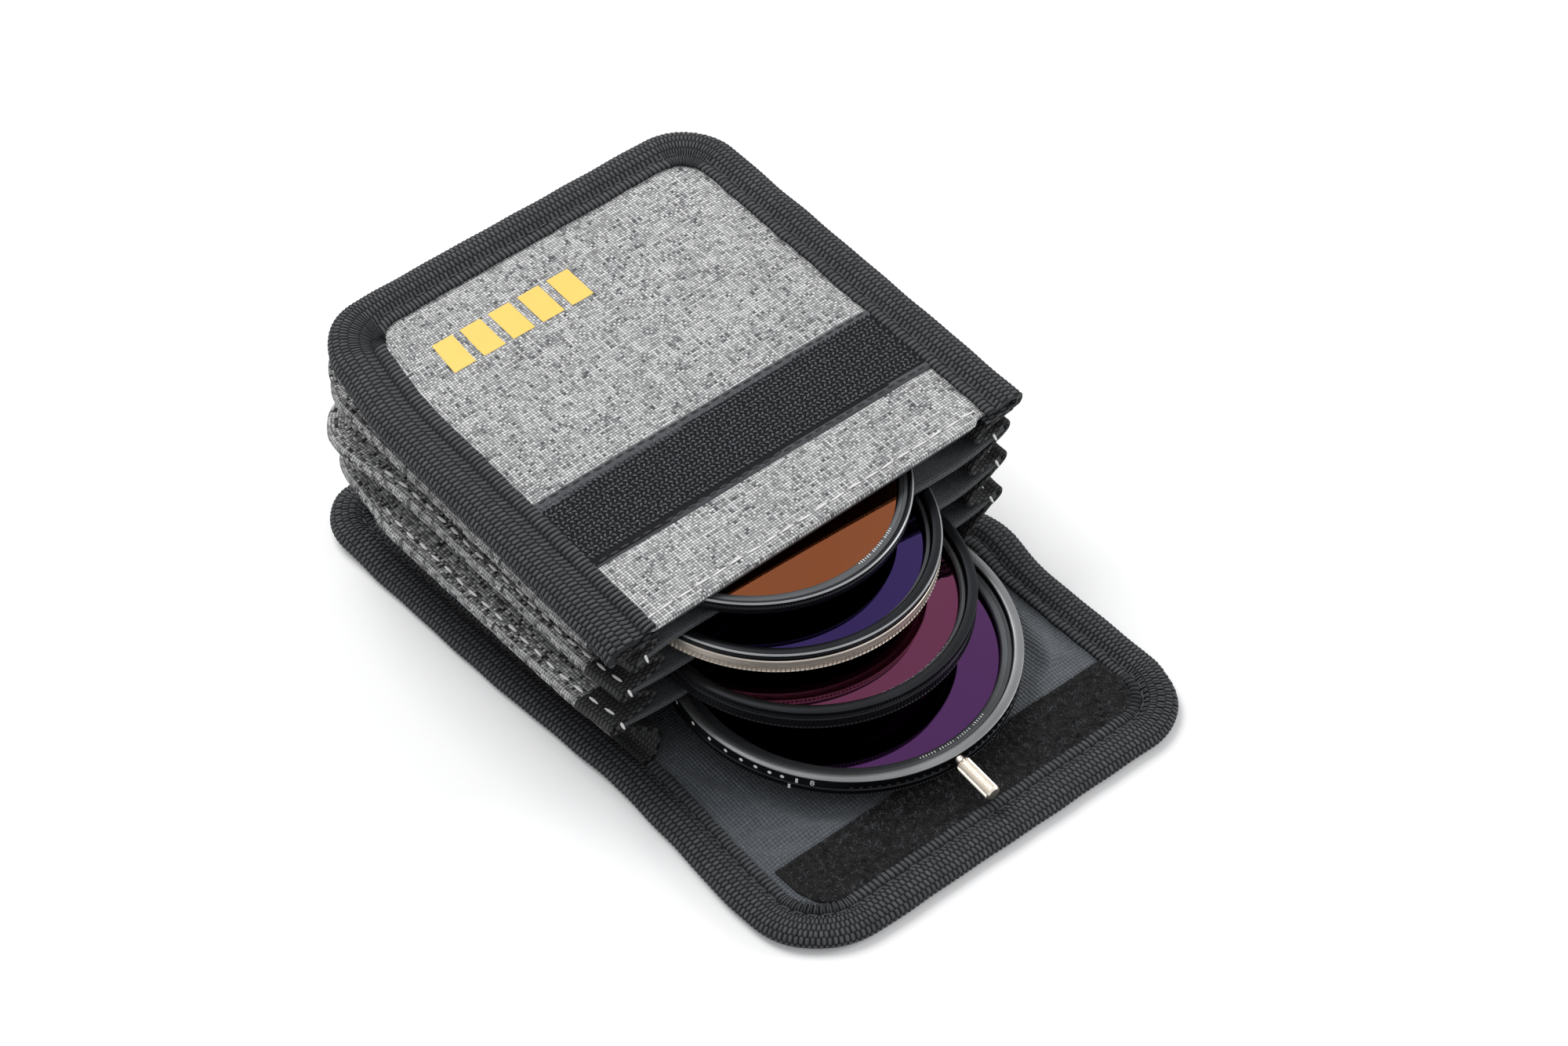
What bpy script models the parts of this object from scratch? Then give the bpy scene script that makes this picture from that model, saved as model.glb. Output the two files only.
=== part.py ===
"""A lens filter case: a cloth pouch with an accordion gusset, lying open on its back.

Four round filters stand part way out of its four pockets, each resting on the layer below it.
Every case piece is drawn flat, with y measured from the mouth, then raised and tilted into place.
A filter is drawn round its own axis, with z measured from its lowest face.
"""
import math

import bmesh
import bpy
from mathutils import Vector

MM = 0.001

# Outline of the case
POUCH_DEPTH = 122.0 * MM
FRONT_DEPTH = 122.0 * MM
FLAP_LENGTH = 73.0 * MM
POUCH_CORNER_RADIUS = 16.0 * MM
FLAP_CORNER_RADIUS = 21.0 * MM

# Bound sheets: a stiff panel and a lining, held all round in folded webbing
PANEL_THICKNESS = 1.0 * MM
LINING_THICKNESS = 0.5 * MM
BINDING_WIDTH = 11.5 * MM
BINDING_LEAF = 0.7 * MM
BINDING_EDGE_WALL = 1.2 * MM
BINDING_ROLL_RADIUS = 1.6 * MM
WINDOW_CORNER_RADIUS = 6.0 * MM
CLEARANCE = 0.3 * MM
CUTTER_OVERRUN = 2.0 * MM

# Hook strip on the front and loop strip on the flap
STRIP_BEVEL = 0.3 * MM
HOOK_STRIP_DEPTH = 24.5 * MM
HOOK_STRIP_FROM_MOUTH = 20.0 * MM
HOOK_STRIP_THICKNESS = 0.9 * MM
LOOP_STRIP_FROM_MOUTH = 44.5 * MM
LOOP_STRIP_THICKNESS = 1.2 * MM

# Padded dividers and the pleats that join them
DIVIDER_THICKNESS = 2.0 * MM
DIVIDER_EDGE_RADIUS = 0.9 * MM
RIDGE_INSET = 1.0 * MM
RIDGE_CORNER_RADIUS = 16.0 * MM
GUSSET_THICKNESS = 0.8 * MM
GUSSET_LIP = 4.0 * MM
GUSSET_PLEAT_DEPTH = 12.0 * MM
POCKET_SIDE_ROOM = 6.6 * MM
FACING_LENGTH = 12.0 * MM

# Lean of each layer, in degrees, from the front panel down to the lowest divider
FRONT_TILT = 6.8
DIVIDER_1_TILT = 5.1
DIVIDER_2_TILT = 3.7
DIVIDER_3_TILT = 2.3

# Thread, glass and seats that all four filters share
THREAD_RADIUS = 38.5 * MM
THREAD_LENGTH = 1.4 * MM
THREAD_WALL = 2.0 * MM
GLASS_THICKNESS = 1.2 * MM
GLASS_SEAT = 0.7 * MM
RETAINER_HEIGHT = 0.6 * MM
RING_WALL = 1.2 * MM
RING_FLOOR = 0.8 * MM
RING_FIT = 0.2 * MM
RING_CHAMFER = 0.35 * MM
RING_GROOVE = 0.4 * MM
RIM_BAND = 1.7 * MM

# Slim filter in the front pocket
FILTER_1_RIM = 1.5 * MM
FILTER_1_HEIGHT = 5.0 * MM
FILTER_1_CENTRE_X = -1.3 * MM
FILTER_1_CENTRE_Y = 24.7 * MM
FILTER_1_TILT = 6.3

# Polarising filter with a pale rear ring
FILTER_2_RIM = 1.8 * MM
FILTER_2_HEIGHT = 7.4 * MM
FILTER_2_REAR_HEIGHT = 5.2 * MM
FILTER_2_CENTRE_X = -1.6 * MM
FILTER_2_CENTRE_Y = 14.6 * MM
FILTER_2_TILT = 4.6

# Dark polarising filter
FILTER_3_RIM = 2.1 * MM
FILTER_3_HEIGHT = 7.1 * MM
FILTER_3_REAR_HEIGHT = 4.6 * MM
FILTER_3_CENTRE_X = -0.7 * MM
FILTER_3_CENTRE_Y = 3.3 * MM
FILTER_3_TILT = 3.15

# Variable dark filter with a lever, its nose on the flap
FILTER_4_RIM = 4.9 * MM
FILTER_4_HEIGHT = 6.6 * MM
FILTER_4_REAR_HEIGHT = 3.4 * MM
FILTER_4_CENTRE_X = 1.8 * MM
FILTER_4_CENTRE_Y = -6.5 * MM
FILTER_4_TILT = 5.15
LEVER_LENGTH = 12.8 * MM
LEVER_RADIUS = 1.9 * MM
LEVER_NECK_RADIUS = 1.1 * MM
LEVER_NECK_LENGTH = 1.5 * MM
LEVER_CHAMFER = 0.4 * MM
LEVER_TURN = -2.6

# Facets round a corner, a ring and the lever
CORNER_STEPS = 7
RING_STEPS = 40
LEVER_STEPS = 16
WELD_DISTANCE = 0.01 * MM

# Sizes and places worked out from the sizes above: each rim stands out past the thread,
# and the pockets take the widest filter between their pleats
GLASS_APERTURE = THREAD_RADIUS - THREAD_WALL
FILTER_1_RADIUS = THREAD_RADIUS + FILTER_1_RIM
FILTER_2_RADIUS = THREAD_RADIUS + FILTER_2_RIM
FILTER_3_RADIUS = THREAD_RADIUS + FILTER_3_RIM
FILTER_4_RADIUS = THREAD_RADIUS + FILTER_4_RIM
RIDGE_HALF_WIDTH = FILTER_4_RADIUS + POCKET_SIDE_ROOM + GUSSET_PLEAT_DEPTH
HALF_WIDTH = RIDGE_HALF_WIDTH + RIDGE_INSET
RIDGE_DEPTH = FRONT_DEPTH * math.cos(math.radians(FRONT_TILT)) - RIDGE_INSET
MOUTH_Y = FLAP_LENGTH - (POUCH_DEPTH + FLAP_LENGTH) / 2
SLOT_THICKNESS = PANEL_THICKNESS + LINING_THICKNESS + 3 * CLEARANCE
BOUND_THICKNESS = SLOT_THICKNESS + 2 * BINDING_LEAF

CASE_COLLECTION = "lens_filter_case"
CUTTER_COLLECTION = "cutters"


# Scene helpers
def clear_scene():
    for old in list(bpy.data.objects):
        bpy.data.objects.remove(old, do_unlink=True)


def collection(name):
    found = bpy.data.collections.get(name)
    if found is None:
        found = bpy.data.collections.new(name)
        bpy.context.scene.collection.children.link(found)
    return found


def material(name, colour, roughness, metallic=0.0, alpha=1.0):
    found = bpy.data.materials.get(name)
    if found is None:
        found = bpy.data.materials.new(name)
        found.use_nodes = True
        shader = found.node_tree.nodes["Principled BSDF"]
        shader.inputs["Base Color"].default_value = (*colour, 1.0)
        shader.inputs["Roughness"].default_value = roughness
        shader.inputs["Metallic"].default_value = metallic
        shader.inputs["Alpha"].default_value = alpha
    return found


def mark_as_cutter(cutter, target):
    collection(CASE_COLLECTION).objects.unlink(cutter)
    collection(CUTTER_COLLECTION).objects.link(cutter)
    cutter.hide_render = True
    cutter.display_type = "WIRE"
    cutter.parent = target


def combine(target, cutter, operation):
    mark_as_cutter(cutter, target)
    boolean = target.modifiers.new(cutter.name, "BOOLEAN")
    boolean.operation = operation
    boolean.solver = "EXACT"
    boolean.object = cutter


def dress(piece, look):
    piece.data.materials.clear()
    piece.data.materials.append(look)
    return piece


def raise_and_tilt(piece, height, tilt_degrees=0.0):
    piece.location = (0, MOUTH_Y, height)
    piece.rotation_euler.x = math.radians(tilt_degrees)
    return piece


def pivot(name, place, parent=None):
    """An empty on a joint's axis, which carries the pieces that turn about it."""
    empty = bpy.data.objects.new(name, None)
    collection(CASE_COLLECTION).objects.link(empty)
    empty["place"] = tuple(place)
    empty.location = Vector(place)
    if parent is not None:
        empty.parent = parent
        empty.location = Vector(place) - Vector(parent["place"])
    return empty


def carry(piece, empty):
    piece.parent = empty
    piece.location = piece.location - Vector(empty["place"])
    return piece


# Shapes
def arc(centre_x, centre_y, radius, start, end):
    for step in range(CORNER_STEPS + 1):
        angle = math.radians(start + (end - start) * step / CORNER_STEPS)
        yield (centre_x + radius * math.cos(angle), centre_y + radius * math.sin(angle))


def sheet_outline(half_width, near, far, radius):
    """Outline of a sheet: square corners at its near end, round ones at its far end."""
    way = math.copysign(1, far - near)
    corner_x = half_width - radius
    corner_y = far - way * radius
    right = arc(corner_x, corner_y, radius, 0, 90 * way)
    left = arc(-corner_x, corner_y, radius, 90 * way, 180 * way)
    return [(half_width, near), *right, *left, (-half_width, near)]


def flat_solid(name, outline, low, high):
    """A flat outline, filled and given its thickness, as a welded mesh."""
    curve = bpy.data.curves.new(name, "CURVE")
    curve.dimensions = "2D"
    curve.fill_mode = "BOTH"
    curve.extrude = (high - low) / 2
    spline = curve.splines.new("POLY")
    spline.points.add(len(outline) - 1)
    for point, (x, y) in zip(spline.points, outline):
        point.co = (x, y, 0, 1)
    spline.use_cyclic_u = True
    guide = bpy.data.objects.new(name + "_outline", curve)
    guide.location.z = (low + high) / 2
    collection(CASE_COLLECTION).objects.link(guide)
    bpy.context.view_layer.update()
    evaluated = guide.evaluated_get(bpy.context.evaluated_depsgraph_get())
    mesh = bpy.data.meshes.new_from_object(evaluated)
    mesh.transform(guide.matrix_world)
    bpy.data.objects.remove(guide, do_unlink=True)

    shape = bmesh.new()
    shape.from_mesh(mesh)
    bmesh.ops.remove_doubles(shape, verts=shape.verts, dist=WELD_DISTANCE)
    flat = math.radians(1)
    bmesh.ops.dissolve_limit(shape, angle_limit=flat, verts=shape.verts, edges=shape.edges)
    bmesh.ops.recalc_face_normals(shape, faces=shape.faces)
    shape.to_mesh(mesh)
    shape.free()
    mesh.name = name
    piece = bpy.data.objects.new(name, mesh)
    collection(CASE_COLLECTION).objects.link(piece)
    return piece


def bevel_edges(piece, radius, segments, chosen):
    """Round the horizontal edges of a flat solid whose two ends the test chooses."""
    shape = bmesh.new()
    shape.from_mesh(piece.data)
    edges = [
        edge for edge in shape.edges
        if abs(edge.verts[0].co.z - edge.verts[1].co.z) < WELD_DISTANCE
        and all(chosen(vertex.co) for vertex in edge.verts)
    ]
    bmesh.ops.bevel(
        shape, geom=edges, offset=radius, segments=segments, profile=0.5, affect="EDGES"
    )
    shape.to_mesh(piece.data)
    shape.free()


def turned(name, profile, steps=RING_STEPS):
    """A closed profile of (radius, height) points turned round Z, outer side first, downwards."""
    mesh = bpy.data.meshes.new(name)
    points = [(radius, 0, height) for radius, height in profile]
    last = len(points)
    mesh.from_pydata(points, [(i, (i + 1) % last) for i in range(last)], [])
    piece = bpy.data.objects.new(name, mesh)
    collection(CASE_COLLECTION).objects.link(piece)
    screw = piece.modifiers.new("turn", "SCREW")
    screw.steps = steps
    screw.render_steps = steps
    screw.use_merge_vertices = True
    screw.merge_threshold = WELD_DISTANCE
    screw.use_smooth_shade = False
    return piece


def loft(name, sections):
    """A closed skin through a row of closed sections that have as many points each."""
    shape = bmesh.new()
    rings = [[shape.verts.new(point) for point in section] for section in sections]
    count = len(rings[0])
    for ring, following in zip(rings, rings[1:]):
        for i in range(count):
            j = (i + 1) % count
            shape.faces.new((ring[i], ring[j], following[j], following[i]))
    shape.faces.new(rings[0])
    shape.faces.new(rings[-1])
    bmesh.ops.recalc_face_normals(shape, faces=shape.faces)
    mesh = bpy.data.meshes.new(name)
    shape.to_mesh(mesh)
    shape.free()
    piece = bpy.data.objects.new(name, mesh)
    collection(CASE_COLLECTION).objects.link(piece)
    return piece


# Slanted planes, each given by its height at the mouth and its lean
def height_at(plane, y):
    height, tilt = plane
    return height + y * math.tan(math.radians(tilt))


def raised(plane, rise):
    """The plane that lies a given distance over another, square to it."""
    height, tilt = plane
    return (height + rise / math.cos(math.radians(tilt)), tilt)


def halfway(lower, upper):
    slope = (math.tan(math.radians(lower[1])) + math.tan(math.radians(upper[1]))) / 2
    return ((lower[0] + upper[0]) / 2, math.degrees(math.atan(slope)))


# Looks
def looks():
    return {
        "heather": material("heather_cloth", (0.36, 0.37, 0.39), 0.9),
        "gusset": material("dark_heather_cloth", (0.14, 0.14, 0.15), 0.92),
        "webbing": material("black_webbing", (0.025, 0.026, 0.028), 0.85),
        "lining": material("slate_lining", (0.05, 0.06, 0.07), 0.6),
        "padding": material("black_nylon", (0.02, 0.021, 0.024), 0.8),
        "hook": material("hook_tape", (0.018, 0.018, 0.02), 0.7),
        "loop": material("loop_tape", (0.01, 0.01, 0.011), 1.0),
        "black_metal": material("black_anodised", (0.012, 0.012, 0.014), 0.35, 0.9),
        "grey_metal": material("grey_anodised", (0.08, 0.085, 0.09), 0.3, 0.9),
        "champagne": material("champagne_metal", (0.62, 0.56, 0.48), 0.28, 1.0),
        "amber": material("amber_glass", (0.15, 0.05, 0.02), 0.05, 0.0, 0.6),
        "blue": material("blue_glass", (0.03, 0.02, 0.12), 0.05, 0.0, 0.6),
        "magenta": material("magenta_glass", (0.12, 0.02, 0.07), 0.05, 0.0, 0.6),
        "purple": material("purple_glass", (0.06, 0.02, 0.12), 0.05, 0.0, 0.6),
    }


# Bound sheets
def binding(name, near, far, outer_radius, look):
    """Webbing folded over three edges of a sheet, with a slot that holds panel and lining."""
    way = math.copysign(1, far - near)
    outer = sheet_outline(HALF_WIDTH, near, far, outer_radius)
    piece = flat_solid(name, outer, 0, BOUND_THICKNESS)
    half_gap = CLEARANCE / 2
    bevel_edges(
        piece, BINDING_ROLL_RADIUS, 2,
        lambda place: abs(place.x) > HALF_WIDTH - half_gap or abs(place.y - near) > half_gap,
    )
    open_end = near - way * CUTTER_OVERRUN
    window = flat_solid(
        name + "_window",
        sheet_outline(
            HALF_WIDTH - BINDING_WIDTH, open_end, far - way * BINDING_WIDTH, WINDOW_CORNER_RADIUS
        ),
        -CUTTER_OVERRUN, BOUND_THICKNESS + CUTTER_OVERRUN,
    )
    slot = flat_solid(
        name + "_slot",
        sheet_outline(
            HALF_WIDTH - BINDING_EDGE_WALL, open_end, far - way * BINDING_EDGE_WALL,
            outer_radius - BINDING_EDGE_WALL,
        ),
        BINDING_LEAF, BINDING_LEAF + SLOT_THICKNESS,
    )
    combine(piece, window, "DIFFERENCE")
    combine(piece, slot, "DIFFERENCE")
    return dress(piece, look)


def held_sheet(name, near, far, outer_radius, low, thickness, look):
    """A sheet whose edge lies in the binding's slot."""
    way = math.copysign(1, far - near)
    inset = BINDING_EDGE_WALL + CLEARANCE
    outline = sheet_outline(HALF_WIDTH - inset, near, far - way * inset, outer_radius - inset)
    return dress(flat_solid(name, outline, low, low + thickness), look)


def add_pad(panel, near, far, low, high):
    """The padded field inside the binding, joined to the thin panel that the slot holds."""
    way = math.copysign(1, far - near)
    inset = BINDING_WIDTH + CLEARANCE
    outline = sheet_outline(
        HALF_WIDTH - inset, near + way * CLEARANCE, far - way * inset,
        WINDOW_CORNER_RADIUS - CLEARANCE,
    )
    pad = flat_solid(panel.name + "_pad", outline, low, high)
    combine(panel, pad, "UNION")


def strip(name, half_width, near, far, low, thickness, look):
    outline = [(half_width, near), (half_width, far), (-half_width, far), (-half_width, near)]
    piece = flat_solid(name, outline, low, low + thickness)
    top = low + thickness - WELD_DISTANCE
    bevel_edges(piece, STRIP_BEVEL, 1, lambda place: place.z > top)
    return dress(piece, look)


def back_sheet(look):
    """Back panel under the pouch: cloth and padding below, lining above."""
    near = CLEARANCE / 2
    far = POUCH_DEPTH
    panel_low = BINDING_LEAF + CLEARANCE
    lining_low = panel_low + PANEL_THICKNESS + CLEARANCE
    radius = POUCH_CORNER_RADIUS
    panel = held_sheet(
        "back_panel", near, far, radius, panel_low, PANEL_THICKNESS, look["heather"]
    )
    add_pad(panel, near, far, 0, panel_low + PANEL_THICKNESS / 2)
    lining = held_sheet(
        "back_lining", near, far, radius, lining_low, LINING_THICKNESS, look["lining"]
    )
    edge = binding("back_binding", near, far, radius, look["webbing"])
    for piece in (panel, lining, edge):
        raise_and_tilt(piece, 0)
    return lining_low + LINING_THICKNESS


def flap(look, lining_top):
    """The flap carries on from the back panel; it folds about the line under the mouth."""
    hinge = pivot("flap_fold", (0, MOUTH_Y, 0))
    near = -CLEARANCE / 2
    far = -FLAP_LENGTH
    panel_low = BINDING_LEAF + CLEARANCE
    lining_low = lining_top - LINING_THICKNESS
    radius = FLAP_CORNER_RADIUS
    panel = held_sheet(
        "flap_panel", near, far, radius, panel_low, PANEL_THICKNESS, look["heather"]
    )
    add_pad(panel, near, far, 0, panel_low + PANEL_THICKNESS / 2)
    lining = held_sheet(
        "flap_lining", near, far, radius, lining_low, LINING_THICKNESS, look["lining"]
    )
    edge = binding("flap_binding", near, far, radius, look["webbing"])
    strip_low = lining_top + CLEARANCE
    loops = strip(
        "flap_loop_strip", HALF_WIDTH - BINDING_WIDTH - WINDOW_CORNER_RADIUS,
        -LOOP_STRIP_FROM_MOUTH, far + BINDING_WIDTH + CLEARANCE,
        strip_low, LOOP_STRIP_THICKNESS, look["loop"],
    )
    for piece in (panel, lining, edge, loops):
        carry(raise_and_tilt(piece, 0), hinge)
    return strip_low + LOOP_STRIP_THICKNESS


def front_sheet(look, base, hinge):
    """Front panel: lining below, heather cloth and hook strip above."""
    height, tilt = base
    near = 0
    far = FRONT_DEPTH
    lining_low = BINDING_LEAF + CLEARANCE
    panel_low = lining_low + LINING_THICKNESS + CLEARANCE
    field_top = BOUND_THICKNESS - BINDING_LEAF
    radius = POUCH_CORNER_RADIUS
    lining = held_sheet(
        "front_lining", near, far, radius, lining_low, LINING_THICKNESS, look["lining"]
    )
    panel = held_sheet(
        "front_panel", near, far, radius, panel_low, PANEL_THICKNESS, look["heather"]
    )
    add_pad(panel, near, far, panel_low + PANEL_THICKNESS / 2, field_top)
    edge = binding("front_binding", near, far, radius, look["webbing"])
    hooks = strip(
        "front_hook_strip", HALF_WIDTH - BINDING_WIDTH - CLEARANCE,
        HOOK_STRIP_FROM_MOUTH, HOOK_STRIP_FROM_MOUTH + HOOK_STRIP_DEPTH,
        field_top + CLEARANCE, HOOK_STRIP_THICKNESS, look["hook"],
    )
    for piece in (lining, panel, edge, hooks):
        carry(raise_and_tilt(piece, height, tilt), hinge)


# Dividers and pleats
def divider(number, underside, hinge, look):
    height, tilt = underside
    inset = GUSSET_THICKNESS + CLEARANCE
    slant_depth = (RIDGE_DEPTH - inset) / math.cos(math.radians(tilt))
    outline = sheet_outline(
        RIDGE_HALF_WIDTH - inset, 0, slant_depth, RIDGE_CORNER_RADIUS - inset
    )
    piece = flat_solid(f"divider_{number}", outline, 0, DIVIDER_THICKNESS)
    bevel_edges(piece, DIVIDER_EDGE_RADIUS, 3, lambda place: place.y < WELD_DISTANCE)
    dress(piece, look["padding"])
    carry(raise_and_tilt(piece, height, tilt), hinge)


def pleat_section(place, inward, lower, upper, wrap):
    """One pleat's section: an upper lip, a valley, a lower lip and the fold round the ridge."""
    skin = GUSSET_THICKNESS
    top = raised(upper, -CLEARANCE)
    bottom = raised(lower, CLEARANCE)
    middle = halfway(top, bottom)
    hem = raised(lower, -wrap)
    points = [
        (0, top), (GUSSET_LIP, top), (GUSSET_PLEAT_DEPTH, middle), (GUSSET_LIP, bottom)
    ]
    if wrap:
        points += [(skin, bottom), (skin, hem), (0, hem)]
    else:
        points += [(0, bottom)]
    points += [
        (0, raised(bottom, skin)), (GUSSET_LIP - skin, raised(bottom, skin)),
        (GUSSET_PLEAT_DEPTH - skin, middle), (GUSSET_LIP - skin, raised(top, -skin)),
        (0, raised(top, -skin)),
    ]
    section = []
    for inset, plane in points:
        x = place[0] + inward[0] * inset
        y = place[1] + inward[1] * inset
        section.append((x, y, height_at(plane, y)))
    return section


def pleat_path(start):
    """Places along the ridge line, each with the direction to the pouch's inside."""
    corner_x = RIDGE_HALF_WIDTH - RIDGE_CORNER_RADIUS
    corner_y = RIDGE_DEPTH - RIDGE_CORNER_RADIUS
    path = [((-RIDGE_HALF_WIDTH, start), (1, 0))]
    for side, first, last in ((-1, 180, 90), (1, 90, 0)):
        for x, y in arc(side * corner_x, corner_y, RIDGE_CORNER_RADIUS, first, last):
            inward = (side * corner_x - x) / RIDGE_CORNER_RADIUS, (corner_y - y) / RIDGE_CORNER_RADIUS
            path.append(((x, y), inward))
    path.append(((RIDGE_HALF_WIDTH, start), (-1, 0)))
    return path


def gusset(number, lower, upper, wrap, look):
    """Cloth pleat of one pocket, with black facings at its two ends by the mouth."""
    sections = [
        pleat_section(place, inward, lower, upper, wrap)
        for place, inward in pleat_path(FACING_LENGTH + CLEARANCE)
    ]
    pieces = [dress(loft(f"gusset_{number}", sections), look["gusset"])]
    for side, word in ((-1, "left"), (1, "right")):
        ends = [
            pleat_section((side * RIDGE_HALF_WIDTH, y), (-side, 0), lower, upper, wrap)
            for y in (0, FACING_LENGTH)
        ]
        facing = loft(f"gusset_facing_{word}_{number}", ends)
        pieces.append(dress(facing, look["padding"]))
    for piece in pieces:
        raise_and_tilt(piece, 0)
    return pieces


# Filters
def slim_ring_profile(radius, height):
    """One-piece ring: banded rim, groove, male thread, glass seat and front thread bore."""
    bore = radius - RING_WALL
    band = height - RIM_BAND
    return [
        (radius - RING_CHAMFER, height), (radius, height - RING_CHAMFER), (radius, band),
        (radius - RING_GROOVE, band - RING_GROOVE), (radius - RING_GROOVE, THREAD_LENGTH),
        (THREAD_RADIUS, THREAD_LENGTH), (THREAD_RADIUS, 0), (GLASS_APERTURE, 0),
        (GLASS_APERTURE, THREAD_LENGTH), (bore, THREAD_LENGTH + RING_FLOOR), (bore, height),
    ]


def rear_ring_profile(radius, rear_height):
    """Threaded ring with a recess on top, in which the front ring's spigot turns."""
    recess = radius - RING_WALL
    floor = THREAD_LENGTH + RING_FLOOR
    rear_bore = THREAD_RADIUS - RING_FLOOR
    groove = (THREAD_LENGTH + rear_height) / 2
    return [
        (radius - RING_CHAMFER, rear_height), (radius, rear_height - RING_CHAMFER),
        (radius, groove + RING_GROOVE), (radius - RING_GROOVE, groove), (radius, groove - RING_GROOVE),
        (radius, THREAD_LENGTH), (THREAD_RADIUS, THREAD_LENGTH), (THREAD_RADIUS, 0),
        (GLASS_APERTURE, 0), (GLASS_APERTURE, GLASS_SEAT), (rear_bore, GLASS_SEAT),
        (rear_bore, floor), (recess, floor), (recess, rear_height),
    ]


def front_ring_profile(radius, height, rear_height):
    """Turning ring: a rim over a spigot, with the glass seat inside."""
    spigot = radius - RING_WALL - RING_FIT
    bore = spigot - RING_WALL
    foot = THREAD_LENGTH + RING_FLOOR + RING_FIT
    under = rear_height + RING_FIT
    return [
        (radius - RING_CHAMFER, height), (radius, height - RING_CHAMFER), (radius, under),
        (spigot, under), (spigot, foot), (GLASS_APERTURE, foot),
        (GLASS_APERTURE, foot + GLASS_SEAT), (bore, foot + GLASS_SEAT), (bore, height),
    ]


def washer_profile(inner, outer, low, high):
    return [(outer, high), (outer, low), (inner, low), (inner, high)]


def glass_disc(name, radius, low, look):
    bpy.ops.mesh.primitive_cylinder_add(
        vertices=RING_STEPS, radius=radius, depth=GLASS_THICKNESS,
        location=(0, 0, low + GLASS_THICKNESS / 2),
    )
    disc = bpy.context.active_object
    disc.data.transform(disc.matrix_basis)
    disc.matrix_basis.identity()
    disc.name = name
    for owner in list(disc.users_collection):
        owner.objects.unlink(disc)
    collection(CASE_COLLECTION).objects.link(disc)
    return dress(disc, look)


def glazing(name, bore, seat_top, glass_look, ring_look, glass_name="glass"):
    """The glass on its seat and the retaining ring that holds it down."""
    radius = bore - RING_FIT
    low = seat_top + RING_FIT
    glass = glass_disc(f"{name}_{glass_name}", radius, low, glass_look)
    ring_low = low + GLASS_THICKNESS + RING_FIT
    profile = washer_profile(GLASS_APERTURE, radius, ring_low, ring_low + RETAINER_HEIGHT)
    ring = dress(turned(f"{name}_retaining_ring", profile), ring_look)
    return [glass, ring]


def stand_filter(pieces, name, centre, tilt, layer_pivot=None):
    """Carry a filter's pieces on an empty on its axis, leaned as the filter leans."""
    axis = pivot(name, centre, layer_pivot)
    axis.rotation_euler.x = math.radians(tilt)
    for piece in pieces:
        piece.parent = axis


def slim_filter(centre, layer_pivot, look):
    ring = turned("filter_1_ring", slim_ring_profile(FILTER_1_RADIUS, FILTER_1_HEIGHT))
    bore = FILTER_1_RADIUS - RING_WALL
    seat_top = THREAD_LENGTH + RING_FLOOR
    pieces = [dress(ring, look["black_metal"])]
    pieces += glazing("filter_1", bore, seat_top, look["amber"], look["grey_metal"])
    stand_filter(pieces, "filter_1_axis", centre, FILTER_1_TILT, layer_pivot)


def turning_filter(number, sizes, centre, layer_pivot, rear_look, glass_look, look):
    """A polariser: a threaded rear ring and a glazed front ring that turns in it."""
    radius, height, rear_height, tilt = sizes
    name = f"filter_{number}"
    rear = turned(f"{name}_rear_ring", rear_ring_profile(radius, rear_height))
    front = turned(f"{name}_front_ring", front_ring_profile(radius, height, rear_height))
    bore = radius - RING_FIT - 2 * RING_WALL
    seat_top = THREAD_LENGTH + RING_FLOOR + RING_FIT + GLASS_SEAT
    glass_name = "front_glass" if number == 4 else "glass"
    pieces = [dress(rear, rear_look), dress(front, look["black_metal"])]
    pieces += glazing(name, bore, seat_top, glass_look, look["grey_metal"], glass_name)
    stand_filter(pieces, f"{name}_axis", centre, tilt, layer_pivot)
    return pieces


def lever(look):
    """Pin that screws into the rim of the front ring, pointing away from the pouch."""
    neck = LEVER_NECK_LENGTH
    profile = [
        (0, LEVER_LENGTH), (LEVER_RADIUS - LEVER_CHAMFER, LEVER_LENGTH),
        (LEVER_RADIUS, LEVER_LENGTH - LEVER_CHAMFER), (LEVER_RADIUS, neck + LEVER_CHAMFER),
        (LEVER_RADIUS - LEVER_CHAMFER, neck), (LEVER_NECK_RADIUS, neck),
        (LEVER_NECK_RADIUS, 0), (0, 0),
    ]
    pin = turned("filter_4_lever", profile, LEVER_STEPS)
    rim_middle = (FILTER_4_REAR_HEIGHT + RING_FIT + FILTER_4_HEIGHT) / 2
    turn = math.radians(LEVER_TURN)
    reach = FILTER_4_RADIUS + RING_FIT
    pin.location = (reach * math.sin(turn), -reach * math.cos(turn), rim_middle)
    pin.rotation_euler = (math.radians(90), 0, turn)
    return dress(pin, look["champagne"])


# Heights of the layers, worked out from what each one rests on
def bottom_on(plane, tilt):
    """Bottom plane of a filter that leans on the front edge of the layer below it."""
    height, _ = plane
    return (height + CLEARANCE, tilt)


def underside_over(filter_top, rear_y, tilt):
    """The lowest plane of a given lean that clears a filter's top at its front and its rear."""
    at_mouth = height_at(filter_top, 0)
    at_rear = height_at(filter_top, rear_y) - rear_y * math.tan(math.radians(tilt))
    return (max(at_mouth, at_rear) + CLEARANCE, tilt)


def filter_centre(centre_x, centre_y, bottom):
    return (centre_x, MOUTH_Y + centre_y, height_at(bottom, centre_y))


def fan_pivot(name, lower, upper, parent):
    """Hinge line of one pocket, at the closed end, half way up its pleat."""
    middle = (height_at(lower, RIDGE_DEPTH) + height_at(upper, RIDGE_DEPTH)) / 2
    return pivot(name, (0, MOUTH_Y + RIDGE_DEPTH, middle), parent)


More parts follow.
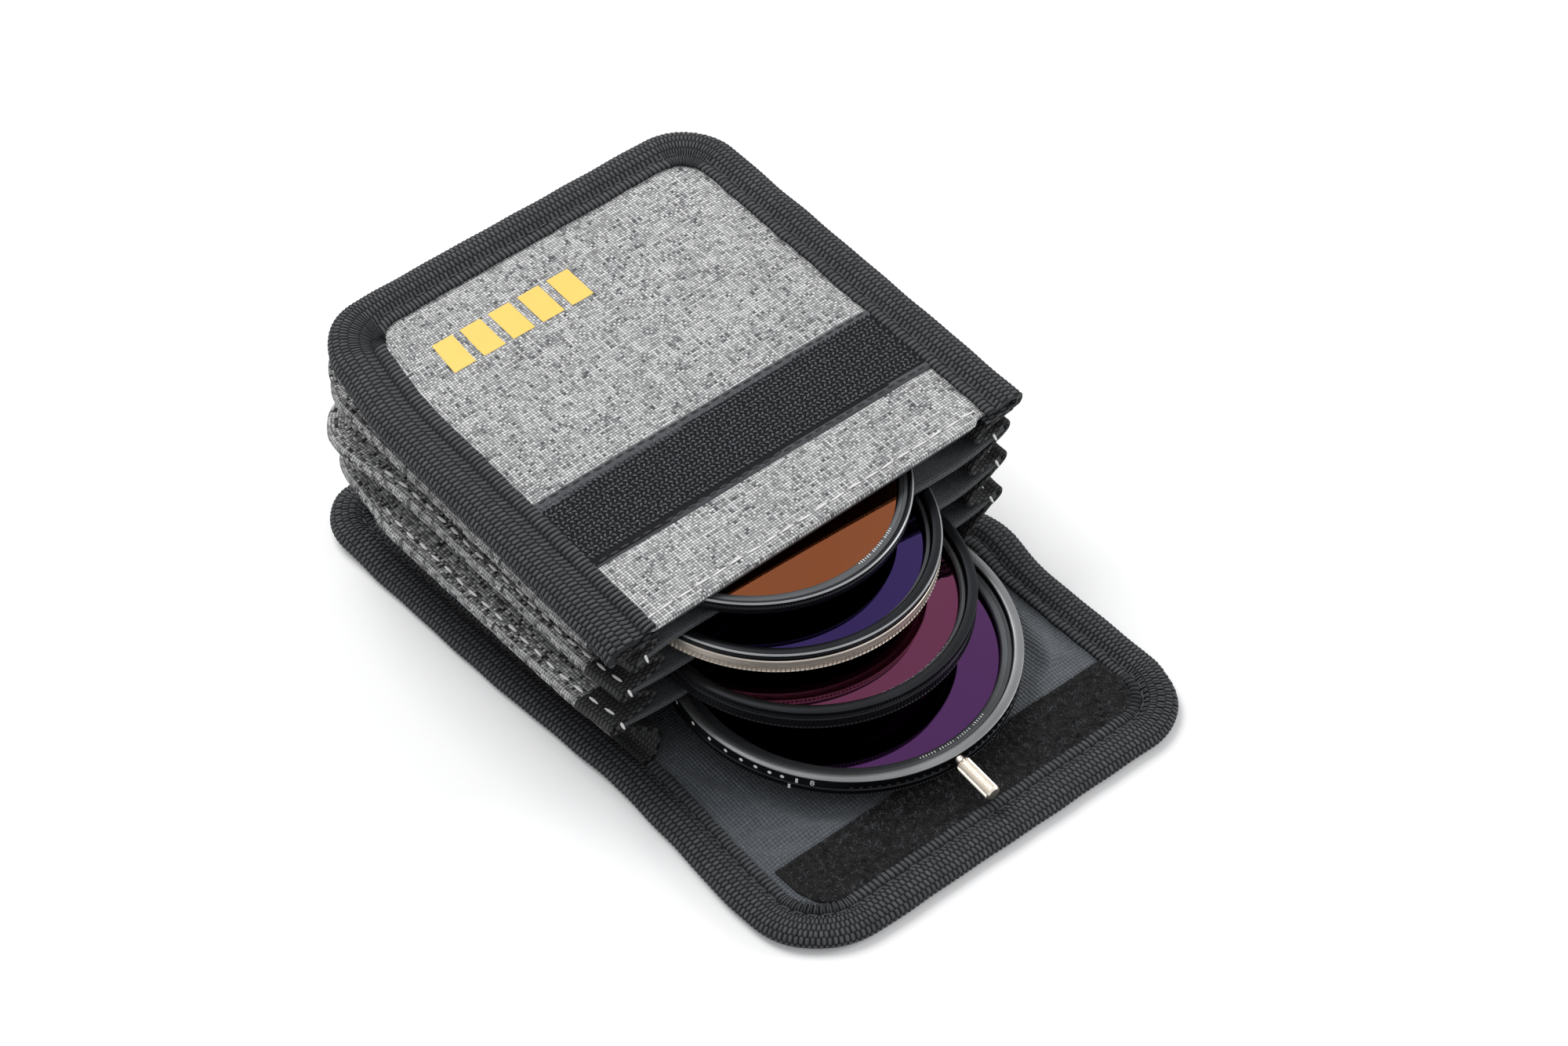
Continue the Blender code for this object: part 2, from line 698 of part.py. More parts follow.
def build():
    clear_scene()
    look = looks()
    lining_top = back_sheet(look)
    loop_top = flap(look, lining_top)
    back = (BOUND_THICKNESS, 0)

    # The lowest filter lies with its nose on the loop strip and its rear under the divider
    lean_4 = math.radians(FILTER_4_TILT)
    nose_y = FILTER_4_CENTRE_Y - FILTER_4_RADIUS * math.cos(lean_4)
    rear_y = FILTER_4_CENTRE_Y + FILTER_4_RADIUS * math.cos(lean_4)
    bottom_4 = (loop_top + CLEARANCE - nose_y * math.tan(lean_4), FILTER_4_TILT)
    under_3 = underside_over(raised(bottom_4, FILTER_4_HEIGHT), rear_y, DIVIDER_3_TILT)
    over_3 = raised(under_3, DIVIDER_THICKNESS)

    bottom_3 = bottom_on(over_3, FILTER_3_TILT)
    rear_y = FILTER_3_CENTRE_Y + FILTER_3_RADIUS
    under_2 = underside_over(raised(bottom_3, FILTER_3_HEIGHT), rear_y, DIVIDER_2_TILT)
    over_2 = raised(under_2, DIVIDER_THICKNESS)

    bottom_2 = bottom_on(over_2, FILTER_2_TILT)
    rear_y = FILTER_2_CENTRE_Y + FILTER_2_RADIUS
    under_1 = underside_over(raised(bottom_2, FILTER_2_HEIGHT), rear_y, DIVIDER_1_TILT)
    over_1 = raised(under_1, DIVIDER_THICKNESS)

    bottom_1 = bottom_on(over_1, FILTER_1_TILT)
    rear_y = FILTER_1_CENTRE_Y + FILTER_1_RADIUS
    lining_under = underside_over(raised(bottom_1, FILTER_1_HEIGHT), rear_y, FRONT_TILT)
    front_base = raised(lining_under, -(BINDING_LEAF + CLEARANCE))

    # Each layer turns about the closed end of the pocket below it
    hinge_4 = fan_pivot("pocket_4_fan", back, under_3, None)
    hinge_3 = fan_pivot("pocket_3_fan", over_3, under_2, hinge_4)
    hinge_2 = fan_pivot("pocket_2_fan", over_2, under_1, hinge_3)
    hinge_1 = fan_pivot("pocket_1_fan", over_1, front_base, hinge_2)

    divider(3, under_3, hinge_4, look)
    divider(2, under_2, hinge_3, look)
    divider(1, under_1, hinge_2, look)
    front_sheet(look, front_base, hinge_1)

    gusset(4, back, under_3, 0, look)
    for number, lower, upper, hinge in (
        (3, over_3, under_2, hinge_4), (2, over_2, under_1, hinge_3), (1, over_1, front_base, hinge_2)
    ):
        for piece in gusset(number, lower, upper, DIVIDER_THICKNESS, look):
            carry(piece, hinge)

    centre_1 = filter_centre(FILTER_1_CENTRE_X, FILTER_1_CENTRE_Y, bottom_1)
    slim_filter(centre_1, hinge_2, look)
    centre_2 = filter_centre(FILTER_2_CENTRE_X, FILTER_2_CENTRE_Y, bottom_2)
    sizes_2 = (FILTER_2_RADIUS, FILTER_2_HEIGHT, FILTER_2_REAR_HEIGHT, FILTER_2_TILT)
    turning_filter(2, sizes_2, centre_2, hinge_3, look["champagne"], look["blue"], look)
    centre_3 = filter_centre(FILTER_3_CENTRE_X, FILTER_3_CENTRE_Y, bottom_3)
    sizes_3 = (FILTER_3_RADIUS, FILTER_3_HEIGHT, FILTER_3_REAR_HEIGHT, FILTER_3_TILT)
    turning_filter(3, sizes_3, centre_3, hinge_4, look["black_metal"], look["magenta"], look)

    centre_4 = filter_centre(FILTER_4_CENTRE_X, FILTER_4_CENTRE_Y, bottom_4)
    sizes_4 = (FILTER_4_RADIUS, FILTER_4_HEIGHT, FILTER_4_REAR_HEIGHT, FILTER_4_TILT)
    pieces = turning_filter(4, sizes_4, centre_4, None, look["black_metal"], look["purple"], look)
    axis_4 = pieces[0].parent
    rear_radius = THREAD_RADIUS - RING_FLOOR - RING_FIT
    rear_glass = glass_disc("filter_4_rear_glass", rear_radius, GLASS_SEAT + RING_FIT, look["purple"])
    rear_glass.parent = axis_4
    lever(look).parent = axis_4


build()
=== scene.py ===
"""The look of a lens filter case that lies open, with four round filters drawn from its pockets.

Lengths in the tables are in millimetres. On the case y is measured from the line of the mouth,
towards the closed end, and on a filter z is measured from its lowest face.
"""

import math

import bmesh
import bpy
import numpy as np
from mathutils import Matrix, Vector


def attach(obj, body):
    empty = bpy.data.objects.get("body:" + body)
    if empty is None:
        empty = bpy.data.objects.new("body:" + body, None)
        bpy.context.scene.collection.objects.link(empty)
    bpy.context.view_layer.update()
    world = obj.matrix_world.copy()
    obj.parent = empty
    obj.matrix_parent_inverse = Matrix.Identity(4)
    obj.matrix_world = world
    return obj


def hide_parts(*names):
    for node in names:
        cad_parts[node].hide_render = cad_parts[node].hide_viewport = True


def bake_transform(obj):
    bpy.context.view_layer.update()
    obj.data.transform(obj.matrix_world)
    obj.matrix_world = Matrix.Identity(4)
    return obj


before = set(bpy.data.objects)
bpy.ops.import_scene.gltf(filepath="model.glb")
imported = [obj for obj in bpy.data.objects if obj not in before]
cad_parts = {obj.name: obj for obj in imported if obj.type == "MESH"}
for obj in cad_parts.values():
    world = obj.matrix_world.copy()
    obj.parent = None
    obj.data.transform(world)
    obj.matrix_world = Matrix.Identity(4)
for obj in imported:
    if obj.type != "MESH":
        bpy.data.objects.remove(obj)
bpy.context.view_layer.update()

MM = 0.001
MOUTH_Y = -24.5
POUCH_DEPTH = 122.0
FLAP_LENGTH = 73.0
HALF_WIDTH = 63.0
POUCH_CORNER = 16.0
FLAP_CORNER = 21.0
FRONT_DEPTH = 124.1
FRONT_SHIFT = 1.6
RIDGE_HALF = 62.0
RIDGE_DEPTH = 120.14
RIDGE_CORNER = 16.0
BOUND_THICKNESS = 3.8
DIVIDER_THICKNESS = 2.0
FACING_LENGTH = 12.0
HOOK_STRIP = (20.0, 44.5)
LOOP_STRIP = (-61.2, -44.5)
SHEET_HALF = 61.2  # the sheets end inside the fold of their binding, and so do their corners
FLAP_SHEET_CORNER = 19.4
POUCH_SHEET_CORNER = 14.4
BAND_WIDTH = 11.4
SEAM_INSET = 8.0

# Height of each layer's underside over the mouth line, and its lean in degrees
LAYERS = {
    "back": (BOUND_THICKNESS, 0.0),
    "divider_3": (17.84, 2.3),
    "divider_2": (27.55, 3.7),
    "divider_1": (37.58, 5.1),
    "front": (44.21, 6.8),
}
# How far the two ends of a divider bend up or down by the mouth, left and right
TIPS = {"divider_1": (-2.2, 4.3), "divider_2": (1.0, 4.8), "divider_3": (2.0, 3.2)}
# How far each layer's folded edge is drawn in: left at the mouth and past it, then right
DRAWN_IN = {
    "front": (1.4, 1.4, -1.4, -1.4),
    "divider_1": (7.8, 3.1, 1.1, 0.8),
    "divider_2": (4.2, 3.0, 1.7, 0.8),
    "divider_3": (1.0, -0.5, 2.7, 0.8),
    "back": (5.5, 5.5, 5.5, 5.5),
}
# The same at the far left corner alone, added to it
CORNER_DRAWN_IN = {"divider_2": -2.6, "divider_3": 3.4}

# Centre of each filter's lowest face in the row frame, its lean and its sizes
FILTERS = {
    1: {"centre": (-1.3, 0.2, 42.62), "tilt": 6.3, "radius": 40.0, "height": 5.0},
    2: {"centre": (-1.6, -9.9, 31.03), "tilt": 4.6, "radius": 40.3, "height": 7.4, "rear": 5.2},
    3: {"centre": (-0.7, -21.2, 20.33), "tilt": 3.15, "radius": 40.6, "height": 7.1, "rear": 4.6},
    4: {"centre": (1.8, -31.0, 8.5), "tilt": 5.15, "radius": 43.4, "height": 6.6, "rear": 3.4},
}
THREAD_RADIUS = 38.5
GLASS_APERTURE = 36.5
RING_WALL = 1.2

# Webbing: bars woven across the tape in rows, the innermost row wider than the others
BAR_PITCH = 1.32
ROW_WIDTH = 1.9
WIDE_ROW = 3.9
BAR_DEPTH = 0.32
STITCH_HEIGHT = 0.6  # of its width


# Where the cloth lies
def sway(layer, x, y):
    """How far a layer's cloth lies above or below its flat plane."""
    if layer == "front":
        return 0.68 - 0.0113 * y + math.tan(math.radians(2.5)) * x
    left, right = TIPS.get(layer, (0.0, 0.0))
    reach = np.clip((np.abs(x) - 42) / 20, 0, 1) ** 2
    fade = 1 - 0.7 * np.clip(y / 120, 0, 1)
    return np.where(x < 0, left, right) * reach * fade


def surface(layer, x, y, rise=0.0):
    """Height over the mouth line of a place that is a rise above a layer's underside."""
    height, tilt = LAYERS[layer]
    lean = math.radians(tilt)
    return height + y * math.tan(lean) + rise / math.cos(lean) + sway(layer, x, y)


def smooth(value):
    """A soft step from 0 to 1."""
    share = np.clip(value, 0, 1)
    return share * share * (3 - 2 * share)


def draw_in(layer, x, y):
    """Move a place on a layer sideways to where the cloth's edge really runs."""
    left_mouth, left, right_mouth, right = DRAWN_IN[layer]
    fade = np.exp(-((np.maximum(y, 0) / 10.0) ** 2))
    pull = np.where(x < 0, left + (left_mouth - left) * fade, right + (right_mouth - right) * fade)
    corner = smooth((y - 80) / 30) * smooth((-x - 20) / 30)
    return x * (1 - (pull + CORNER_DRAWN_IN.get(layer, 0.0) * corner) / RIDGE_HALF)


def drawn(layer, points):
    """The same for a grid of places in the row frame."""
    moved = np.array(points, float)
    moved[..., 0] = draw_in(layer, moved[..., 0], moved[..., 1] - MOUTH_Y)
    return moved


def to_front(points):
    """The front sheet lies to the right of the sheets below, and its left corner is drawn in."""
    x, y = points[..., 0], points[..., 1] - MOUTH_Y
    moved = np.array(points, float)
    moved[..., 0] += FRONT_SHIFT + 0.6 * smooth((x - 30) / 30)
    moved[..., 0] += 4.6 * smooth((y - 82) / 36) * smooth((-x - 15) / 45)
    moved[..., 2] -= 1.3 * np.exp(-np.maximum(y, 0) / 3.0) * smooth((-x - 49) / 9)
    return moved


def tucked(points):
    """The cloth ends a little inside the webbing at the two ends of the mouth."""
    moved = np.array(points, float)
    x, y = points[..., 0], points[..., 1] - MOUTH_Y
    moved[..., 1] += 1.6 * smooth((np.abs(x + 0.8) - 48.5) / 2.5) * np.exp(-np.maximum(y, 0) / 2.0)
    return to_front(moved)


def to_strip(points):
    """The hook tape is sewn on with its left end a little further from the mouth."""
    moved = np.array(points, float)
    moved[..., 1] += 0.75 - 0.015 * points[..., 0]
    return to_front(moved)



def ripple(x, y, seed, length):
    """Soft uneven waves between -1 and 1, the same at every run."""
    total = 0.0
    for i in range(5):
        turn = seed * 1.7 + i * 2.4
        pitch = length * (0.55 + 0.3 * i)
        along = (x * math.cos(turn) + y * math.sin(turn)) / pitch
        total = total + np.sin(2 * math.pi * along + seed * 3.1 + i * 1.3)
    return total / 5


def folds(x, y, creases):
    """Height of a few long creases, each (x0, y0, x1, y1, half width, height)."""
    total = np.zeros_like(x + y)
    for x0, y0, x1, y1, width, height in creases:
        run = math.hypot(x1 - x0, y1 - y0)
        ux, uy = (x1 - x0) / run, (y1 - y0) / run
        along = ((x - x0) * ux + (y - y0) * uy) / run
        across = -(x - x0) * uy + (y - y0) * ux
        fade = np.clip(np.minimum(along, 1 - along) * 3 + 0.15, 0, 1)
        fade = np.where((along < -0.05) | (along > 1.05), 0, fade)
        total = total + height * fade * np.exp(-((across / width) ** 2))
    return total


def level(height):
    """A flat side of a sheet."""
    return lambda x, y: height + 0 * x


# Node helpers
def given_to(tree, socket, value):
    """Set an input to a number, or link another node's output to it."""
    if isinstance(value, (int, float)):
        socket.default_value = value
    else:
        tree.links.new(value, socket)


def calc(tree, operation, *values):
    node = tree.nodes.new("ShaderNodeMath")
    node.operation = operation
    for socket, value in zip(node.inputs, values):
        given_to(tree, socket, value)
    return node.outputs[0]


def dimmed(tree, colour, share):
    """A colour times a number."""
    node = tree.nodes.new("ShaderNodeVectorMath")
    node.operation = "SCALE"
    tree.links.new(colour, node.inputs[0])
    tree.links.new(share, node.inputs["Scale"])
    return node.outputs[0]


def joined(tree, x, y, z=0.0):
    node = tree.nodes.new("ShaderNodeCombineXYZ")
    for socket, value in zip(node.inputs, (x, y, z)):
        given_to(tree, socket, value)
    return node.outputs[0]


def parts_of(tree, vector):
    node = tree.nodes.new("ShaderNodeSeparateXYZ")
    tree.links.new(vector, node.inputs[0])
    return node.outputs[0], node.outputs[1], node.outputs[2]


def cloud(tree, vector, scale, detail=2.0, roughness=0.5):
    node = tree.nodes.new("ShaderNodeTexNoise")
    node.inputs["Scale"].default_value = scale
    node.inputs["Detail"].default_value = detail
    node.inputs["Roughness"].default_value = roughness
    tree.links.new(vector, node.inputs["Vector"])
    return node.outputs["Fac"]


def blended(tree, share, first, second):
    """Colour mix; a colour may be a socket or three numbers."""
    node = tree.nodes.new("ShaderNodeMix")
    node.data_type = "RGBA"
    tree.links.new(share, node.inputs[0])
    for socket, value in ((node.inputs[6], first), (node.inputs[7], second)):
        if isinstance(value, (tuple, list)):
            socket.default_value = (*value, 1.0)
        else:
            tree.links.new(value, socket)
    return node.outputs[2]


def spread(tree, value, low, high, new_low=0.0, new_high=1.0):
    """A value between two limits, mapped between two others."""
    node = tree.nodes.new("ShaderNodeMapRange")
    for socket, number in zip(node.inputs[1:5], (low, high, new_low, new_high)):
        socket.default_value = number
    tree.links.new(value, node.inputs[0])
    return node.outputs[0]


def new_group(name, inputs, outputs):
    tree = bpy.data.node_groups.new(name, "ShaderNodeTree")
    for label, kind, value in inputs:
        socket = tree.interface.new_socket(name=label, in_out="INPUT", socket_type=kind)
        if value is not None:
            socket.default_value = value
    for label, kind in outputs:
        tree.interface.new_socket(name=label, in_out="OUTPUT", socket_type=kind)
    start = tree.nodes.new("NodeGroupInput")
    end = tree.nodes.new("NodeGroupOutput")
    return tree, start.outputs, end.inputs


VECTOR, FLOAT, COLOUR = "NodeSocketVector", "NodeSocketFloat", "NodeSocketColor"


def weave_group():
    """Plain weave: a height, which thread is on top, and a streaky shade for each thread."""
    tree, given, made = new_group(
        "plain_weave",
        [("Vector", VECTOR, None), ("Warp pitch", FLOAT, 0.001), ("Weft pitch", FLOAT, 0.001),
         ("Streak length", FLOAT, 6.0), ("Mottle", FLOAT, 0.3)],
        [("Height", FLOAT), ("Warp on top", FLOAT), ("Shade", FLOAT)],
    )
    x, y, _ = parts_of(tree, given["Vector"])
    wander = cloud(tree, given["Vector"], 260.0, 1.0)
    wobble = calc(tree, "MULTIPLY", calc(tree, "SUBTRACT", wander, 0.5), 0.5)
    u = calc(tree, "ADD", calc(tree, "DIVIDE", x, given["Warp pitch"]), wobble)
    v = calc(tree, "ADD", calc(tree, "DIVIDE", y, given["Weft pitch"]), wobble)
    row_u, row_v = calc(tree, "FLOOR", u), calc(tree, "FLOOR", v)

    def half_wave(value):
        return calc(tree, "SINE", calc(tree, "MULTIPLY", value, math.pi))

    round_u = calc(tree, "ABSOLUTE", half_wave(u))
    round_v = calc(tree, "ABSOLUTE", half_wave(v))
    over_u = half_wave(calc(tree, "ADD", v, row_u))
    over_v = half_wave(calc(tree, "ADD", calc(tree, "ADD", u, row_v), 1.0))
    warp = calc(tree, "MULTIPLY", calc(tree, "POWER", round_u, 0.6),
                calc(tree, "MULTIPLY_ADD", over_u, 0.42, 0.58))
    weft = calc(tree, "MULTIPLY", calc(tree, "POWER", round_v, 0.6),
                calc(tree, "MULTIPLY_ADD", over_v, 0.42, 0.58))
    top = calc(tree, "GREATER_THAN", warp, weft)
    streak = calc(tree, "DIVIDE", 1.0, given["Streak length"])
    warp_shade = cloud(tree, joined(tree, calc(tree, "MULTIPLY", row_u, 7.31),
                                    calc(tree, "MULTIPLY", v, streak)), 1.0, 3.0, 0.7)
    weft_shade = cloud(tree, joined(tree, calc(tree, "MULTIPLY", u, streak),
                                    calc(tree, "MULTIPLY", row_v, 5.77), 4.0), 1.0, 3.0, 0.7)
    shade = calc(tree, "ADD", calc(tree, "MULTIPLY", warp_shade, top),
                 calc(tree, "MULTIPLY", weft_shade, calc(tree, "SUBTRACT", 1.0, top)))
    crossing = cloud(tree, joined(tree, calc(tree, "MULTIPLY", row_u, 7.31),
                                  calc(tree, "MULTIPLY", row_v, 5.77), 9.4), 1.0, 1.0)
    change = calc(tree, "MULTIPLY", calc(tree, "SUBTRACT", crossing, shade), given["Mottle"])
    tree.links.new(calc(tree, "MAXIMUM", warp, weft), made["Height"])
    tree.links.new(top, made["Warp on top"])
    tree.links.new(calc(tree, "ADD", shade, change), made["Shade"])
    return tree


def ribbed_tape_group():
    """Webbing: bars across the tape, in rows that are each offset by half a bar."""
    tree, given, made = new_group(
        "ribbed_tape",
        [("Vector", VECTOR, None), ("Wide row", FLOAT, WIDE_ROW * MM),
         ("Row width", FLOAT, ROW_WIDTH * MM), ("Bar pitch", FLOAT, BAR_PITCH * MM)],
        [("Height", FLOAT), ("Shade", FLOAT)],
    )
    girth, length, _ = parts_of(tree, given["Vector"])
    past_wide = calc(tree, "SUBTRACT", girth, given["Wide row"])
    past = calc(tree, "DIVIDE", past_wide, given["Row width"])
    in_rows = calc(tree, "GREATER_THAN", past, 0.0)
    row = calc(tree, "MULTIPLY", calc(tree, "ADD", calc(tree, "FLOOR", past), 1.0), in_rows)
    wide = calc(tree, "DIVIDE", girth, given["Wide row"])
    across = calc(tree, "ADD", calc(tree, "MULTIPLY", calc(tree, "FRACT", past), in_rows),
                  calc(tree, "MULTIPLY", wide, calc(tree, "SUBTRACT", 1.0, in_rows)))
    step = calc(tree, "MULTIPLY_ADD", row, 0.5, calc(tree, "DIVIDE", length, given["Bar pitch"]))
    along = calc(tree, "FRACT", step)

    def rounded(value, power):
        wave = calc(tree, "SINE", calc(tree, "MULTIPLY", value, math.pi))
        return calc(tree, "POWER", calc(tree, "ABSOLUTE", wave), power)

    height = calc(tree, "MULTIPLY", rounded(across, 0.2), rounded(along, 0.7))
    yarn = cloud(tree, joined(tree, calc(tree, "MULTIPLY", girth, 500.0),
                              calc(tree, "MULTIPLY", length, 6500.0)), 1.0, 2.0, 0.6)
    bar = cloud(tree, joined(tree, calc(tree, "MULTIPLY", row, 7.3), calc(tree, "FLOOR", step)),
                0.83, 1.0)
    tree.links.new(calc(tree, "MULTIPLY_ADD", yarn, 0.16, height), made["Height"])
    tree.links.new(calc(tree, "MULTIPLY_ADD", yarn, 0.6, calc(tree, "MULTIPLY", bar, 0.4)),
                   made["Shade"])
    return tree


def lint_group():
    """Sparse pale specks and a slow change of shade over a dark cloth or a hard part."""
    tree, given, made = new_group(
        "lint",
        [("Vector", VECTOR, None), ("Colour", COLOUR, (0.1, 0.1, 0.1, 1.0)),
         ("Unevenness", FLOAT, 0.15), ("Specks", FLOAT, 0.1)],
        [("Colour", COLOUR), ("Mask", FLOAT)],
    )
    slow = cloud(tree, given["Vector"], 34.0, 3.0)
    fine = cloud(tree, given["Vector"], 900.0, 2.0)
    speck = spread(tree, fine, 0.68, 0.76)
    shade = calc(tree, "MULTIPLY_ADD", calc(tree, "SUBTRACT", slow, 0.5), given["Unevenness"], 1.0)
    shaded = dimmed(tree, given["Colour"], shade)
    amount = calc(tree, "MULTIPLY", speck, given["Specks"])
    tree.links.new(blended(tree, amount, shaded, (0.62, 0.62, 0.62)), made["Colour"])
    tree.links.new(speck, made["Mask"])
    return tree


def turning_marks_group():
    """Fine rings left by a lathe, and a brushed change of gloss, round the Z axis."""
    tree, given, made = new_group(
        "turning_marks",
        [("Vector", VECTOR, None), ("Pitch", FLOAT, 0.0004)],
        [("Height", FLOAT), ("Shade", FLOAT)],
    )
    x, y, z = parts_of(tree, given["Vector"])
    out = calc(tree, "SQRT", calc(tree, "ADD", calc(tree, "MULTIPLY", x, x),
                                  calc(tree, "MULTIPLY", y, y)))
    line = calc(tree, "DIVIDE", calc(tree, "ADD", out, z), given["Pitch"])
    grain = cloud(tree, joined(tree, line, 0.0), 1.0, 2.0, 0.6)
    round_way = calc(tree, "ARCTAN2", y, x)
    slow = cloud(tree, joined(tree, calc(tree, "SINE", round_way), calc(tree, "COSINE", round_way),
                              calc(tree, "MULTIPLY", line, 0.02)), 2.0, 2.0)
    tree.links.new(grain, made["Height"])
    tree.links.new(slow, made["Shade"])
    return tree


WEAVE = weave_group()
RIBBED_TAPE = ribbed_tape_group()
LINT = lint_group()
TURNING_MARKS = turning_marks_group()


def placed(tree, group, **values):
    """Place a node group; its inputs are given by name, with _ for a space."""
    node = tree.nodes.new("ShaderNodeGroup")
    node.node_tree = group
    for label, value in values.items():
        socket = node.inputs[label.replace("_", " ")]
        if isinstance(value, bpy.types.NodeSocket):
            tree.links.new(value, socket)
        elif isinstance(value, tuple):
            socket.default_value = (*value, 1.0)
        else:
            socket.default_value = value
    return node.outputs


def new_material(name, roughness, metallic=0.0, **settings):
    """A material, its tree and its shader, with other inputs given by name."""
    look = bpy.data.materials.new(name)
    look.use_nodes = True
    shader = look.node_tree.nodes["Principled BSDF"]
    settings = {"Roughness": roughness, "Metallic": metallic, **settings}
    for label, value in settings.items():
        shader.inputs[label.replace("_", " ")].default_value = value
    return look, look.node_tree, shader


def coordinates(tree, kind="Object"):
    return tree.nodes.new("ShaderNodeTexCoord").outputs[kind]


def finished(tree, shader, vector, colour, unevenness, specks):
    """Lay the lint group over a colour and give the result to the shader."""
    finish = placed(tree, LINT, Vector=vector, Colour=colour, Unevenness=unevenness, Specks=specks)
    tree.links.new(finish["Colour"], shader.inputs["Base Color"])


def bump(tree, height, distance, shader, strength=1.0):
    node = tree.nodes.new("ShaderNodeBump")
    node.inputs["Strength"].default_value = strength
    node.inputs["Distance"].default_value = distance
    tree.links.new(height, node.inputs["Height"])
    tree.links.new(node.outputs[0], shader.inputs["Normal"])


def woven(name, dark, pale, pitch, streak, contrast, depth, roughness, sheen, unevenness, specks,
          light_in_hollows, mottle, highlight_girth=None):
    """Cloth whose threads vary between two colours. The piece's UV map is in metres.

    Along the fold, at the girth given last, the threads are pale: a painted highlight on the
    fold's edge.
    """
    look, tree, shader = new_material(
        name, roughness, Sheen_Weight=sheen, Sheen_Roughness=0.5, Specular_IOR_Level=0.25,
        Sheen_Tint=(0.9, 0.92, 0.95, 1.0),
    )
    vector = coordinates(tree, "UV")
    cloth = placed(tree, WEAVE, Vector=vector, Warp_pitch=pitch[0] * MM,
                   Weft_pitch=pitch[1] * MM, Streak_length=streak, Mottle=mottle)
    low, high = contrast
    shade = spread(tree, cloth["Shade"], low, high)
    if highlight_girth is not None:
        # painted highlight: a pale, broken line of threads on the fold's outer edge
        off = calc(tree, "ABSOLUTE", calc(tree, "SUBTRACT", parts_of(tree, vector)[0], highlight_girth))
        line = spread(tree, off, 0.00025, 0.00065, 1.0, 0.0)
        broken = spread(tree, cloud(tree, vector, 420.0, 2.0), 0.35, 0.55)
        shade = calc(tree, "MAXIMUM", shade, calc(tree, "MULTIPLY", line, broken))
    threads = blended(tree, shade, dark, pale)
    # painted shade: the threads are darkened in the hollows of the weave, where shade falls
    hollow_shade = spread(tree, cloth["Height"], 0.1, 0.75, light_in_hollows, 1.0)
    toned = dimmed(tree, threads, hollow_shade)
    finished(tree, shader, coordinates(tree), toned, unevenness, specks)
    tree.links.new(spread(tree, cloth["Height"], 0.0, 1.0, roughness + 0.1, roughness - 0.05),
                   shader.inputs["Roughness"])
    bump(tree, cloth["Height"], depth * MM, shader)
    return look


def ribbed(name, dark, pale, bar_pitch=BAR_PITCH, row_width=ROW_WIDTH, wide_row=WIDE_ROW):
    """Webbing. The piece's UV map holds the girth and the length."""
    look, tree, shader = new_material(
        name, 0.62, Sheen_Weight=0.02, Sheen_Roughness=0.45, Specular_IOR_Level=0.2
    )
    tape = placed(tree, RIBBED_TAPE, Vector=coordinates(tree, "UV"), Wide_row=wide_row * MM,
                  Row_width=row_width * MM, Bar_pitch=bar_pitch * MM)
    threads = blended(tree, spread(tree, tape["Shade"], 0.3, 0.7), dark, pale)
    # painted shade: the webbing darkens into the gaps between its bars
    depth = spread(tree, tape["Height"], 0.5, 0.98, 0.02, 1.0)
    finished(tree, shader, coordinates(tree), dimmed(tree, threads, depth), 0.25, 0.02)
    tree.links.new(spread(tree, tape["Height"], 0.0, 1.0, 0.75, 0.55), shader.inputs["Roughness"])
    bump(tree, tape["Height"], 0.0003, shader, 0.8)
    return look


def thread_look(name, colour):
    look, tree, shader = new_material(name, 0.6, Sheen_Weight=0.3, Specular_IOR_Level=0.3)
    vector = coordinates(tree)
    twist = cloud(tree, vector, 2200.0, 2.0)
    tree.links.new(blended(tree, twist, tuple(0.75 * c for c in colour), colour),
                   shader.inputs["Base Color"])
    bump(tree, twist, 0.0001, shader)
    return look


def pile_look(name, dark, pale):
    look, tree, shader = new_material(name, 0.8, Sheen_Weight=0.1, Specular_IOR_Level=0.2)
    vector = coordinates(tree)
    patch = cloud(tree, vector, 620.0, 3.0, 0.65)
    tree.links.new(blended(tree, spread(tree, patch, 0.42, 0.64), dark, pale),
                   shader.inputs["Base Color"])
    bump(tree, cloud(tree, vector, 1800.0, 2.0), 0.0003, shader)
    return look


def about_filter(tree, number):
    """Object coordinates, measured from a filter's own axis."""
    shape = FILTERS[number]
    lean = math.radians(shape["tilt"])
    x, y, z = (value * MM for value in shape["centre"])
    node = tree.nodes.new("ShaderNodeMapping")
    node.vector_type = "TEXTURE"
    node.inputs["Location"].default_value = (x, y, z)
    node.inputs["Rotation"].default_value = (lean, 0, 0)
    tree.links.new(coordinates(tree), node.inputs["Vector"])
    return node.outputs[0]


def metal(name, number, colour, roughness, metallic=0.9, pitch=0.4 * MM, depth=0.01 * MM):
    """Anodised or bare turned metal of one filter's rings."""
    look, tree, shader = new_material(name, roughness, metallic)
    marks = placed(tree, TURNING_MARKS, Vector=about_filter(tree, number), Pitch=pitch)
    toned = blended(tree, spread(tree, marks["Shade"], 0.3, 0.7),
                    tuple(0.82 * c for c in colour), tuple(min(1.0, 1.12 * c) for c in colour))
    finished(tree, shader, coordinates(tree), toned, 0.12, 0.015)
    tree.links.new(spread(tree, marks["Height"], 0.3, 0.7, roughness - 0.05, roughness + 0.08),
                   shader.inputs["Roughness"])
    bump(tree, marks["Height"], depth, shader)
    return look


def coated_glass(name, tint):
    """Dark filter glass: what shows is the coloured mirror of its coating."""
    look, tree, shader = new_material(
        name, 0.03, 1.0, Coat_Weight=0.25, Coat_Roughness=0.02, Coat_IOR=1.4
    )
    vector = coordinates(tree)
    film = cloud(tree, vector, 9.0, 1.0)
    deeper = tuple(0.86 * c for c in tint)
    coating = blended(tree, spread(tree, film, 0.35, 0.65), deeper, tint)
    finished(tree, shader, vector, coating, 0.05, 0.004)
    tree.links.new(spread(tree, cloud(tree, vector, 60.0, 3.0), 0.3, 0.7, 0.012, 0.03),
                   shader.inputs["Roughness"])
    return look


